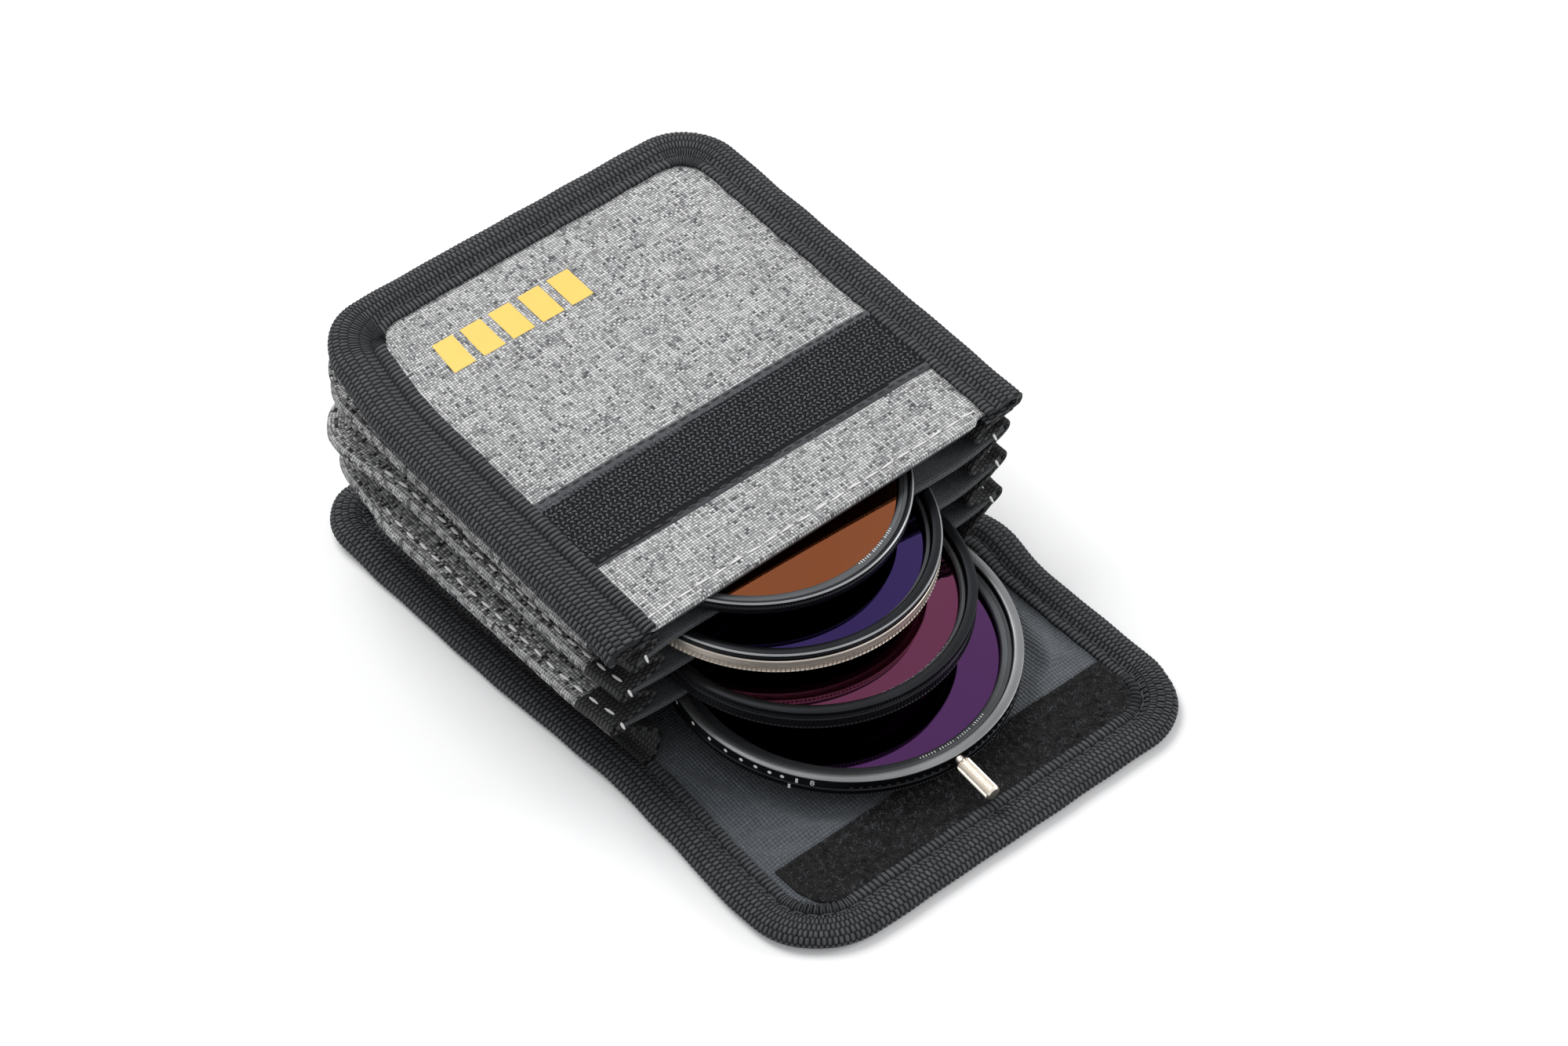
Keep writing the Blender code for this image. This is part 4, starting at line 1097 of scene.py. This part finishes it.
# The front sheet
def front_sheet():
    path = edge_path(HALF_WIDTH, 0.0, FRONT_DEPTH, 0.0, POUCH_CORNER, BAR_PITCH / 4)
    edge, length = binding("front_edge_binding", path, True, 0.35, to_front)
    shaded(edge, "webbing", "front", slot="webbing", replaces=("front_binding",), angle=60)

    def crown(x, y):
        side = np.clip((51.5 - np.abs(x)) / 7.0, 0, 1)
        end = np.clip((FRONT_DEPTH - 11.5 - y) / 7.0, 0, 1)
        pad = smooth(np.minimum(side, end))
        strip = np.clip(1 - np.abs(y - 32.25) / 15.0, 0, 1)
        return pad * (0.42 - 0.25 * np.clip(strip * 3, 0, 1) + 0.14 * ripple(x, y, 0.9, 38.0)
                      + 0.05 * ripple(x, y, 2.9, 13.0))

    def over(rise, padded=True):
        """A side of a sheet that is a rise above the front's underside, or above its padding."""
        return lambda x, y: surface("front", x, y, rise + crown(x, y) if padded else rise)

    far_edge, corners = FRONT_DEPTH - 1.8, (0, POUCH_SHEET_CORNER)
    cloth = cloth_sheet("front_cloth", SHEET_HALF, -0.2, far_edge, corners, (150, 180),
                        over(2.55), over(1.6, padded=False), tucked, free_edge=0.7)
    shaded(cloth, "heather", "front", slot="heather", replaces=("front_panel",), angle=60)

    def lining_low(x, y):
        return surface("front", x, y, 0.95 + 0.25 * np.clip((np.abs(x) - 44) / 8, 0, 1))

    lining = cloth_sheet("front_inner_cloth", SHEET_HALF, 0.1, far_edge, corners, (70, 70),
                         over(1.5, padded=False), lining_low, tucked, free_edge=0.3)
    shaded(lining, "nylon", "front", slot="lining", replaces=("front_lining",), angle=60)

    def on_cloth(x, y, height):
        """Places over the front's underside, before the sheet is moved to where it lies."""
        return np.stack([x, y + MOUTH_Y, height(x, y)], -1)

    def along(y, rise, end):
        xs = np.linspace(-end, end, 120)
        return on_cloth(xs, np.full(120, y), over(2.55 + rise))

    row = stitch_row("mouth_stitches", to_front(along(3.2, 0.0, 51.0)), 5.0, 4.1, 0.62, 0.1)
    shaded(row, "white_thread", "front", slot="heather")

    seam = edge_path(HALF_WIDTH - SEAM_INSET, 0.6, FRONT_DEPTH - SEAM_INSET, 0.0,
                     POUCH_CORNER - SEAM_INSET, 0.8)
    line = to_front(on_cloth(seam[:, 0], seam[:, 1], over(3.0, padded=False)))
    row = stitch_row("front_seam", line, 3.4, 2.5, 0.55, 0.1)
    shaded(row, "dark_thread", "front", slot="webbing")

    near, far = HOOK_STRIP

    def strip_top(x, y):
        edge_drop = np.clip(np.minimum(y - near, far - y) / 0.8, 0, 1)
        return surface("front", x, y, 2.65 + crown(x, y) + 0.5 * np.sqrt(edge_drop))

    strip = cloth_sheet("hook_tape", 52.6, near, far, (0, 0), (120, 50), strip_top, over(2.5),
                        to_strip)
    assign_where(strip, lambda place, normal: near + 1.9 < place.y - MOUTH_Y < far - 1.9)
    shaded(strip, ("selvedge", "hook_base"), "front", slot="hook", replaces=("front_hook_strip",),
           angle=50)
    rng = np.random.default_rng(5)
    frames = []
    row_pitch, hook_pitch = 1.12, 1.34
    for j in range(int((far - near - 4.2) / row_pitch)):
        y = near + 2.3 + row_pitch * (j + 0.5)
        xs = np.arange(-48.9, 51.2, hook_pitch) + 0.5 * hook_pitch * (j % 2)
        xs = xs + rng.normal(0, 0.08, len(xs))
        zs = over(3.1)(xs, y + 0 * xs)
        for x, z in zip(xs, zs):
            turn = rng.normal(0.7, 0.3) if j % 2 else rng.normal(2.4, 0.3)
            lean = rng.normal(0.15, 0.1)
            ahead = np.array([math.cos(turn), math.sin(turn), 0.0])
            high = np.array([lean, -lean, 1.0])
            place = to_strip(np.array([x, y + MOUTH_Y, z]))
            frames.append((place, ahead, np.cross(high, ahead), high * 0.7))
    hooks = copies("hooks", small_shape("hook"), frames)
    shaded(hooks, "hook", "front", slot="hook", angle=60)
    for side, y in (("low", near + 1.0), ("high", far - 1.0)):
        line = to_strip(along(y, 0.62, 51.2))
        row = stitch_row(f"hook_tape_stitches_{side}", line, 3.2, 2.3, 0.6, 0.06)
        shaded(row, "black_thread", "front", slot="hook")

    # A plain row of squares printed on the cloth
    for i in range(5):
        left = -38.2 + 9.0 * i
        xs, ys = np.meshgrid(np.linspace(left, left + 6.5, 14), np.linspace(90.0, 100.5, 20))
        patch = to_front(on_cloth(xs, ys, over(2.6)))
        square = from_grid(f"print_square_{i + 1}", patch, np.stack([xs, ys], -1))
        recalculate(square)
        thicken(square, 0.08, 1.0)
        shaded(square, "yellow_print", "front", slot="heather")


# Dividers, pleats and facings
def divider(number):
    layer = f"divider_{number}"
    inset = 1.2

    def top(x, y):
        puff = np.clip((58 - np.abs(x)) / 6, 0, 1)
        return surface(layer, x, y, 1.86 + 0.1 * puff * (1 + ripple(x, y, number * 1.1, 30.0)) / 2)

    piece = cloth_sheet(f"padded_divider_{number}", RIDGE_HALF - inset, 0.0, RIDGE_DEPTH - inset,
                        (0, RIDGE_CORNER - inset), (120, 90), top,
                        lambda x, y: surface(layer, x, y, 0.1),
                        lambda points: drawn(layer, points), free_edge=1.1)
    shaded(piece, "nylon", f"layer_{number}", slot="padding", replaces=(layer,), angle=60)


# The layers under and over each pocket, and their bodies
POCKETS = {
    1: ("divider_1", "front", "layer_1", "front"),
    2: ("divider_2", "divider_1", "layer_2", "layer_1"),
    3: ("divider_3", "divider_2", "layer_3", "layer_2"),
    4: ("back", "divider_3", "pouch_back", "layer_3"),
}
# Section of a pleat from its upper lip inwards and back out: inset, share of the way down to the
# lower layer, and rise. The upper three then wrap round the edge of the layer below
PLEAT_UPPER = [(0.6, 0.0, -0.25), (3.0, 0.0, -0.4), (5.0, 0.05, -0.5), (9.0, 0.27, 0.0),
               (12.4, 0.5, 0.0)]
PLEAT_WRAP = [(9.0, 0.73, 0.0), (5.2, 0.95, 0.45), (3.4, 1.0, 0.3), (1.2, 1.0, 0.35),
              (-0.35, 1.0, 0.1), (-0.6, 1.0, -1.0), (-0.3, 1.0, -2.1), (1.5, 1.0, -2.45),
              (3.6, 1.0, -2.5)]
PLEAT_FOOT = [(10.5, 0.73, 0.0), (8.4, 0.95, 0.45), (6.8, 1.0, 0.3), (4.6, 1.0, 0.32),
              (3.4, 1.0, 0.28)]
SHARE_SCALE = np.array((1.0, 6.0, 1.0))  # a share of 1 counts as 6 mm along the section


def pleat_skin(number, path, puff=1.0):
    """A pleat's cloth along an edge path, its UV map, and the length along the path."""
    lower, upper, _, _ = POCKETS[number]
    points = PLEAT_UPPER + (PLEAT_WRAP if number < 4 else PLEAT_FOOT)
    section, run = evenly(cut_corners(points, 3), 40, SHARE_SCALE)
    length = run_along(path[:, :2])
    inset, share, rise = (section[None, :, i] for i in range(3))
    s = length[:, None]
    wall = np.clip(1 - np.abs(share - 0.5) * 2, 0, 1)
    inset = inset + puff * wall * (0.9 * ripple(s, 0 * inset, number * 0.8, 31.0)
                                   - 1.6 * path[:, 4][:, None])
    inset = inset + 0.25 * puff * ripple(s, 8 * share, number * 1.9, 13.0) * (share > 0.02)
    x, y = inwards(path, inset)
    top = surface(upper, x, y)
    if lower == "back":
        low = BOUND_THICKNESS + 0.05 + 0 * x
    else:
        low = surface(lower, x, y, DIVIDER_THICKNESS)
    bulge = puff * wall * 0.5 * ripple(s, 5 * share, number * 2.3, 19.0)
    z = top * (1 - share) + low * share + rise + bulge
    x = draw_in(upper, x, y) * (1 - share) + draw_in(lower, x, y) * share
    points = np.stack([x, y + MOUTH_Y, z], -1)
    uv = np.stack([run[None, :] + 0 * s, s + 0 * run[None, :]], -1)
    return points, uv, length


def pleat_blend(piece):
    """Cloth between two layers: its transform is baked in."""
    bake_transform(piece)


def gusset(number):
    """One pleat round three sides, and the facings that finish its two ends at the mouth."""
    path = edge_path(RIDGE_HALF, FACING_LENGTH - 0.4, RIDGE_DEPTH, 0.0, RIDGE_CORNER, 0.9)
    points, uv, length = pleat_skin(number, path)
    piece = from_grid(f"pleat_{number}", points, uv)
    recalculate(piece)
    thicken(piece, 0.7, 0.0)
    # painted shade: the lowest pleat takes the darker copy of the cloth
    shaded(piece, "gusset" if number < 4 else "low_gusset", slot="gusset",
           replaces=(f"gusset_{number}",), angle=70)
    pleat_blend(piece)
    for side, word in ((-1, "left"), (1, "right")):
        run = np.linspace(0.0, FACING_LENGTH, 26)
        rows = np.array([(side * RIDGE_HALF, y, -side, 0, 0.0) for y in run[::-side]])
        skin, flat, _ = pleat_skin(number, rows, 0.4)
        facing = from_grid(f"facing_{word}_{number}", skin, flat)
        recalculate(facing)
        thicken(facing, 1.25, 0.0)
        modified(facing, "SUBSURF", levels=1, render_levels=1)
        shaded(facing, "facing", slot="padding",
               replaces=(f"gusset_facing_{word}_{number}",), angle=70)
        pleat_blend(facing)


def ridge_stitches():
    """White thread through the folds of the three ridges, and over their ends at the mouth."""
    for number, inset in ((1, 3.5), (2, 1.8), (3, 2.3)):
        layer, body = f"divider_{number}", f"layer_{number}"
        for side, word in ((-1, "left"), (1, "right")):
            ys = np.linspace(92.0, 0.2, 200)
            xs = side * (RIDGE_HALF - inset - (1.2 if side > 0 else 0)) + 0.15 * np.sin(ys * 0.2)
            zs = surface(layer, xs, ys, DIVIDER_THICKNESS + 0.8)
            row = np.stack([draw_in(layer, xs, ys), ys, zs], -1)
            tip = row[-1]
            drop = [(0.1, -0.6, -0.3), (0.3, -0.8, -1.1), (0.7, -0.7, -3.2)]
            end = [tip + np.array(step) for step in drop]
            turn_down, _ = evenly(cut_corners([tip, *end], 2), 20, SHARE_SCALE)
            row = np.vstack([row, turn_down[1:]])
            row[:, 1] += MOUTH_Y
            row = stitch_row(f"ridge_stitches_{word}_{number}", row, 4.8, 3.0, 0.78, 0.2,
                             up=(0, -0.7, 0.7))
            shaded(row, "white_thread", body, slot="gusset")


# Filters: rings drawn round an axis, glass and marks
def thread(radius, low, high, pitch=0.75, depth=0.3):
    """Profile points of a screw thread, upwards."""
    turns = max(1, int((high - low) / pitch))
    points = []
    for i in range(turns):
        z = low + (high - low) * i / turns
        step = (high - low) / turns
        points += [(radius, z + 0.1 * step), (radius - depth, z + 0.5 * step),
                   (radius, z + 0.9 * step)]
    return points


# The thread that screws onto a lens, downwards, and the step to the rear opening
MALE_THREAD = [(THREAD_RADIUS, 1.4), *[(r, 1.3 - z) for r, z in thread(THREAD_RADIUS, 0.0, 1.3)],
               (38.3, 0.0), (36.6, 0.0), (36.5, 0.1)]


def turned(name, profile, steps):
    """A closed profile drawn round the axis: a circle, extruded and scaled point by point."""
    deselect()
    radius, height = profile[0]
    bpy.ops.mesh.primitive_circle_add(vertices=steps, radius=radius * MM,
                                      location=(0, 0, height * MM))
    piece = bpy.context.active_object
    piece.name = name
    piece.data.name = name
    bpy.ops.object.transform_apply()
    bpy.ops.object.mode_set(mode="EDIT")
    bpy.ops.mesh.select_mode(type="EDGE")
    bpy.ops.mesh.select_all(action="SELECT")
    for (r0, z0), (r1, z1) in zip(profile, profile[1:]):
        bpy.ops.mesh.extrude_edges_move(
            TRANSFORM_OT_translate={"value": (0, 0, (z1 - z0) * MM)}
        )
        if abs(r1 - r0) > 1e-6:
            bpy.ops.transform.resize(value=(r1 / r0, r1 / r0, 1), center_override=(0, 0, z1 * MM))
    bpy.ops.mesh.select_all(action="DESELECT")
    bpy.ops.mesh.select_non_manifold()
    bpy.ops.mesh.bridge_edge_loops()
    bpy.ops.object.mode_set(mode="OBJECT")
    recalculate(piece, merged=0.002 * MM)
    return piece


def knurl(piece, radius, low, high, teeth, depth, sector=(0.0, 360.0), duty=2):
    """Press grooves into a sector of a band: duty of every four columns of points move inwards."""
    first, last = sector
    make_active(piece)
    bpy.ops.object.mode_set(mode="EDIT")
    bpy.ops.mesh.select_mode(type="VERT")
    bpy.ops.mesh.select_all(action="DESELECT")
    bpy.ops.object.mode_set(mode="OBJECT")
    columns = teeth * 4
    for vertex in piece.data.vertices:
        x, y, z = vertex.co / MM
        if not low < z < high or abs(math.hypot(x, y) - radius) > 0.02:
            continue
        angle = math.degrees(math.atan2(y, x)) % 360
        if not first <= angle <= last:
            continue
        column = int(round(angle / 360 * columns)) % 4
        vertex.select = column < duty
    bpy.ops.object.mode_set(mode="EDIT")
    share = (radius - depth) / radius
    bpy.ops.transform.resize(value=(share, share, 1), center_override=(0, 0, 0))
    bpy.ops.object.mode_set(mode="OBJECT")


def stand(piece, number):
    """Lean a piece that is drawn round the Z axis and put it where its filter is."""
    shape = FILTERS[number]
    make_active(piece)
    piece.location = Vector(shape["centre"]) * MM
    piece.rotation_euler = (math.radians(shape["tilt"]), 0, 0)
    bpy.ops.object.transform_apply()


NARROW_EDGE = (0.45, 0.3)


def light_edge(ring, radius, height, wide, deep):
    """The top bevel of a rim gets the piece's second material: a lighter metal as a painted
    highlight, or on the lowest filter its wide grey top face.
    """
    assign_where(ring, lambda place, normal: place.z > height - deep
                 and math.hypot(place.x, place.y) > radius - wide and normal.z > 0.2)


def glass(number, name, radius, low, look, node, body):
    deselect()
    thickness = 0.5
    bpy.ops.mesh.primitive_cylinder_add(vertices=160, radius=radius * MM, depth=thickness * MM,
                                        location=(0, 0, (low + thickness / 2) * MM))
    piece = bpy.context.active_object
    piece.name = name
    bpy.ops.object.transform_apply()
    modified(piece, "BEVEL", width=0.15 * MM, segments=2)
    stand(piece, number)
    shaded(piece, look, body, 30, slot=look, replaces=(node,))


def slim_filter():
    radius, height = FILTERS[1]["radius"], FILTERS[1]["height"]
    bore = radius - RING_WALL
    profile = [(radius - 0.4, height), (radius - 0.06, height - 0.2), (radius, height - 0.34),
               (radius, height - 0.42), (radius, height - 1.35), (radius, height - 1.5),
               (radius - 0.25, height - 1.62), (radius - 0.25, height - 1.8),
               (radius - 0.05, height - 1.95), (radius - 0.05, 1.55), (radius - 0.2, 1.4),
               *MALE_THREAD, (36.5, 1.4), (36.8, 1.45), (bore, 2.2),
               *thread(bore, 2.3, height - 0.35, 0.6, 0.2), (bore + 0.2, height - 0.1),
               (bore + 0.3, height)]
    ring = turned("slim_ring", profile, 1280)
    knurl(ring, radius, height - 1.4, height - 0.4, 320, 0.28)
    light_edge(ring, radius, height, *NARROW_EDGE)
    stand(ring, 1)
    shaded(ring, ("black_1", "edge_1"), "filter_1", 30, "black_metal", ("filter_1_ring",))
    glass(1, "amber_disc", 38.6, 2.4, "amber", "filter_1_glass", "filter_1")
    retaining_ring(1, 38.6, 3.8, "filter_1")


def retaining_ring(number, outer, low, body, aperture=GLASS_APERTURE):
    """Grey washer with a raised outer lip."""
    profile = [(outer, low + 0.5), (outer - 0.12, low + 0.6), (outer - 0.9, low + 0.6),
               (outer - 1.0, low + 0.5), (aperture + 0.5, low + 0.34),
               (aperture + 0.12, low + 0.2), (aperture, low + 0.1), (aperture, low - 0.68),
               (aperture + 0.4, low - 0.68), (aperture + 0.5, low), (outer, low)]
    ring = turned(f"washer_{number}", profile, 480)
    stand(ring, number)
    shaded(ring, f"grey_{number}", body, 30, "grey_metal", (f"filter_{number}_retaining_ring",))


def rear_ring(number, look, slot, band, teeth, depth):
    radius, rear = FILTERS[number]["radius"], FILTERS[number]["rear"]
    recess = radius - RING_WALL
    low, high = band
    profile = [(recess + 0.1, rear), (radius - 0.25, rear), (radius, rear - 0.25),
               (radius, high + 0.2), (radius - 0.18, high + 0.12), (radius - 0.18, high + 0.06),
               (radius, high), (radius, high - 0.12), (radius, low + 0.12), (radius, low),
               (radius - 0.25, 1.4), *MALE_THREAD, (36.5, 0.7), (37.7, 0.7), (37.7, 2.2),
               (recess, 2.2), (recess, rear - 0.1)]
    ring = turned(f"threaded_ring_{number}", profile, teeth * 4)
    knurl(ring, radius, low + 0.05, high - 0.05, teeth, depth)
    stand(ring, number)
    shaded(ring, look, f"filter_{number}", 30, slot, (f"filter_{number}_rear_ring",))


def front_ring(number, edge_look, edge, band, teeth, depth, sector=(0.0, 360.0), duty=2):
    """The ring that turns; its edge is given by the width and depth of the top faces that take the
    second look, a painted highlight or a grey top.
    """
    shape = FILTERS[number]
    radius, height = shape["radius"], shape["height"]
    spigot = radius - 1.4
    bore = spigot - RING_WALL
    low, high = band
    under = shape["rear"] + 0.2
    profile = [(bore + 0.35, height), (radius - 0.4, height), (radius - 0.05, height - 0.2),
               (radius, height - 0.34), (radius, high), (radius, high - 0.1), (radius, low + 0.1),
               (radius, low), (radius, under + 0.12), (radius - 0.12, under), (spigot, under),
               (spigot, 2.4), (36.5, 2.4), (36.5, 3.1), (bore, 3.1)]
    profile += [*thread(bore, 5.4, height - 0.3, 0.6, 0.2), (bore, height - 0.3),
                (bore + 0.15, height - 0.1)]
    ring = turned(f"turning_ring_{number}", profile, teeth * 4)
    knurl(ring, radius, low + 0.05, high - 0.05, teeth, depth, sector, duty)
    light_edge(ring, radius, height, *edge)
    stand(ring, number)
    shaded(ring, (f"black_{number}", edge_look), f"filter_{number}_turning", 30, "black_metal",
           (f"filter_{number}_front_ring",))


def turning_filters():
    rear_ring(2, "champagne", "champagne", (1.7, 3.4), 228, 0.34)
    rear_ring(3, "black_3", "black_metal", (1.8, 4.2), 256, 0.26)
    rear_ring(4, "black_4", "black_metal", (1.6, 3.0), 320, 0.24)
    front_ring(2, "edge_2", NARROW_EDGE, (6.3, 7.0), 340, 0.22)
    front_ring(3, "edge_3", NARROW_EDGE, (5.3, 6.8), 320, 0.28)
    front_ring(4, "rim", (2.7, 0.4), (4.0, 6.0), 124, 0.3, (231.0, 345.0), 1)
    glass(2, "blue_disc", 37.5, 3.3, "blue", "filter_2_glass", "filter_2_turning")
    retaining_ring(2, 37.5, 4.7, "filter_2_turning")
    glass(3, "magenta_disc", 37.8, 3.3, "magenta", "filter_3_glass", "filter_3_turning")
    retaining_ring(3, 37.8, 4.7, "filter_3_turning")
    glass(4, "purple_disc", 40.6, 3.3, "purple", "filter_4_front_glass", "filter_4_turning")
    glass(4, "rear_purple_disc", 37.5, 0.9, "purple", "filter_4_rear_glass", "filter_4")
    retaining_ring(4, 40.6, 4.7, "filter_4_turning", 38.0)


def lever():
    """Fluted pin with a small neck, screwed into the rim of the lowest filter."""
    flutes, pin_radius = 13, 1.9
    profile = [(1.0, 0.0), (1.1, 0.1), (1.1, 1.5), (1.6, 1.55), (pin_radius, 1.9),
               (pin_radius, 2.0), (pin_radius, 12.2), (pin_radius, 12.3), (1.75, 12.6),
               (1.5, 12.8), (0.05, 12.8)]
    deselect()
    bpy.ops.mesh.primitive_circle_add(vertices=flutes * 4, radius=profile[0][0] * MM,
                                      fill_type="NGON")
    pin = bpy.context.active_object
    pin.name = "pin"
    bpy.ops.object.mode_set(mode="EDIT")
    bpy.ops.mesh.select_mode(type="EDGE")
    bpy.ops.mesh.select_all(action="SELECT")
    for (r0, z0), (r1, z1) in zip(profile, profile[1:]):
        bpy.ops.mesh.extrude_region_move(
            TRANSFORM_OT_translate={"value": (0, 0, (z1 - z0) * MM)}
        )
        bpy.ops.transform.resize(value=(r1 / r0, r1 / r0, 1), center_override=(0, 0, z1 * MM))
    bpy.ops.object.mode_set(mode="OBJECT")
    recalculate(pin, merged=0.002 * MM)
    knurl(pin, pin_radius, 1.95, 12.25, flutes, 0.42)
    shape = FILTERS[4]
    middle = (shape["rear"] + 0.2 + shape["height"]) / 2
    make_active(pin)
    turn, reach = math.radians(-2.6), shape["radius"] + 0.2
    pin.location = Vector((reach * math.sin(turn), -reach * math.cos(turn), middle)) * MM
    pin.rotation_euler = (math.radians(90), 0, turn)
    bpy.ops.object.transform_apply()
    stand(pin, 4)
    shaded(pin, "pin", "filter_4_turning", 25, "champagne", ("filter_4_lever",))


def on_filter(number, angle, height, radius=None):
    """A place on a filter's side, or at a given radius, and the ways round, up and outwards."""
    shape = FILTERS[number]
    a = math.radians(angle)
    outward = Vector((math.cos(a), math.sin(a), 0))
    turn = Matrix.Rotation(math.radians(shape["tilt"]), 3, "X")
    place = outward * (radius or shape["radius"]) + Vector((0, 0, height))
    place = turn @ place + Vector(shape["centre"])
    round_way = turn @ Vector((-math.sin(a), math.cos(a), 0))
    return (np.array(place), np.array(round_way), np.array(turn @ Vector((0, 0, 1))),
            np.array(turn @ outward))


def put_on(piece, place, ways):
    """Move a small upright piece, drawn in millimetres, to a place with its three ways."""
    basis = Matrix([Vector(way) for way in ways]).transposed().to_4x4()
    piece.data.transform(Matrix.Scale(MM, 4) @ Matrix.Translation(Vector(place)) @ basis)
    recalculate(piece)


def marks():
    """Dots, bars and a plain number on the side of the lowest filter, as on any such dial."""
    dot = small_shape("stitch")
    frames = []
    for angle in (167.1, 176.8, 184.5, 191.2, 197.0, 202.1, 206.8, 210.9):
        place, round_way, up, outward = on_filter(4, angle, 4.8)
        frames.append((place, round_way, up, outward * 0.14))
    dots = copies("scale_dots", dot, frames)
    shaded(dots, "white_paint", "filter_4_turning", slot="black_metal")
    for name, angle, height, tall, body in (
        ("scale_end_bar", 215.5, 4.75, 1.5, "filter_4_turning"),
        ("index_bar", 213.3, 2.2, 1.4, "filter_4"),
    ):
        deselect()
        bpy.ops.mesh.primitive_cube_add(size=1.0)
        bar = bpy.context.active_object
        bar.name = name
        place, round_way, up, outward = on_filter(4, angle, height)
        put_on(bar, place, (round_way * 0.6, outward * 0.1, up * tall))
        shaded(bar, "white_paint", body, slot="black_metal")

    deselect()
    bpy.ops.object.text_add()
    number = bpy.context.active_object
    number.data.body = "8"
    number.data.size = 2.4
    number.data.extrude = 0.04
    number.data.resolution_u = 4
    number.data.align_x = "CENTER"
    number.data.align_y = "CENTER"
    bpy.ops.object.convert(target="MESH")
    number = bpy.context.active_object
    number.name = "scale_number"
    place, round_way, up, outward = on_filter(4, 220.3, 4.8)
    put_on(number, place, (round_way, up, outward))
    shaded(number, "white_paint", "filter_4_turning", slot="black_metal")

    # Plain ticks on the washers
    for index, radius, height, first, last, body in (
        (1, 37.05, 4.25, 276, 297, "filter_1"), (2, 36.95, 5.14, 262, 286, "filter_2_turning"),
        (3, 37.0, 5.14, 250, 293, "filter_3_turning"),
        (4, 39.0, 5.14, 257, 288, "filter_4_turning"),
    ):
        frames = []
        for i, angle in enumerate(np.arange(first, last, 1.15)):
            if i % 7 == 6:
                continue
            place, round_way, up, outward = on_filter(index, angle, height, radius)
            frames.append((place, round_way * 0.26, outward * (0.75 if i % 3 else 0.5), up * 0.06))
        ticks = copies(f"washer_ticks_{index}", dot, frames)
        shaded(ticks, "white_paint", body, slot="grey_metal")


# Stage, light and camera
def seen_rays(tree):
    """1 for what the camera sees, straight or in a reflection."""
    rays = tree.nodes.new("ShaderNodeLightPath")
    return calc(tree, "MAXIMUM", rays.outputs["Is Camera Ray"], rays.outputs["Is Glossy Ray"])


def stage():
    """A pale floor and a pale room that lights less than it shows, and two lamps."""
    deselect()
    bpy.ops.mesh.primitive_plane_add(size=8.0, location=(0, 0, -0.0002))
    floor = bpy.context.active_object
    floor.name = "floor"
    look, tree, shader = new_material("pale_floor", 0.9, Specular_IOR_Level=0.05)
    tone = cloud(tree, coordinates(tree), 3.0, 2.0)
    tree.links.new(blended(tree, tone, (0.93, 0.93, 0.93), (0.94, 0.94, 0.94)),
                   shader.inputs["Base Color"])
    shader.inputs["Emission Strength"].default_value = 1.0
    tree.links.new(blended(tree, seen_rays(tree), (0.0, 0.0, 0.0), (0.11, 0.11, 0.11)),
                   shader.inputs["Emission Color"])
    floor.data.materials.append(look)

    world = bpy.context.scene.world or bpy.data.worlds.new("studio")
    bpy.context.scene.world = world
    world.use_nodes = True
    tree = world.node_tree
    back = tree.nodes["Background"]
    tree.links.new(blended(tree, seen_rays(tree), (0.52, 0.525, 0.535), (1.0, 1.0, 1.0)),
                   back.inputs["Color"])
    back.inputs["Strength"].default_value = 1.0

    for name, place, size, power in (
        ("key", (-0.05, 0.75, 1.05), 0.8, 11.5), ("side", (1.1, -0.6, 0.55), 0.5, 5.0),
    ):
        lamp = bpy.data.lights.new(name, "AREA")
        lamp.shape = "SQUARE"
        lamp.size = size
        lamp.energy = power
        lamp_object = bpy.data.objects.new(name, lamp)
        bpy.context.scene.collection.objects.link(lamp_object)
        lamp_object.location = place
        aim = Vector((0, 0.01, 0.03)) - Vector(place)
        lamp_object.rotation_euler = aim.to_track_quat("-Z", "Y").to_euler()


def camera():
    """The camera fitted to the photograph, placed in millimetres from the middle of the mouth."""
    azimuth, elevation, roll = (math.radians(v) for v in (-39.78, 43.34, -0.83))
    distance, picture_width, focal_pixels, sensor = 821.24, 2000, 4353.65, 36.0
    back_way = Vector((math.sin(azimuth) * math.cos(elevation),
                       -math.cos(azimuth) * math.cos(elevation), math.sin(elevation)))
    across = Vector((0, 0, 1)).cross(back_way).normalized()
    upward = back_way.cross(across)
    right = across * math.cos(roll) + upward * math.sin(roll)
    top = upward * math.cos(roll) - across * math.sin(roll)
    place = back_way * distance - right * 7.82 + top * 35.14 + Vector((0, MOUTH_Y, 0))
    lens = bpy.data.cameras.new("camera")
    lens.sensor_width = sensor
    lens.lens = focal_pixels / picture_width * sensor
    lens.clip_start, lens.clip_end = 0.05, 20.0
    holder = bpy.data.objects.new("camera", lens)
    bpy.context.scene.collection.objects.link(holder)
    turn = Matrix((right, top, back_way)).transposed()
    holder.matrix_world = Matrix.Translation(place * MM) @ turn.to_4x4()
    bpy.context.scene.camera = holder
    bpy.context.scene.view_settings.view_transform = "Standard"


bottom_sheet()
loop_strip()
for divider_number in (3, 2, 1):
    divider(divider_number)
for pleat_number in (4, 3, 2, 1):
    gusset(pleat_number)
ridge_stitches()
front_sheet()
slim_filter()
turning_filters()
lever()
marks()
stage()
camera()

bpy.context.view_layer.update()
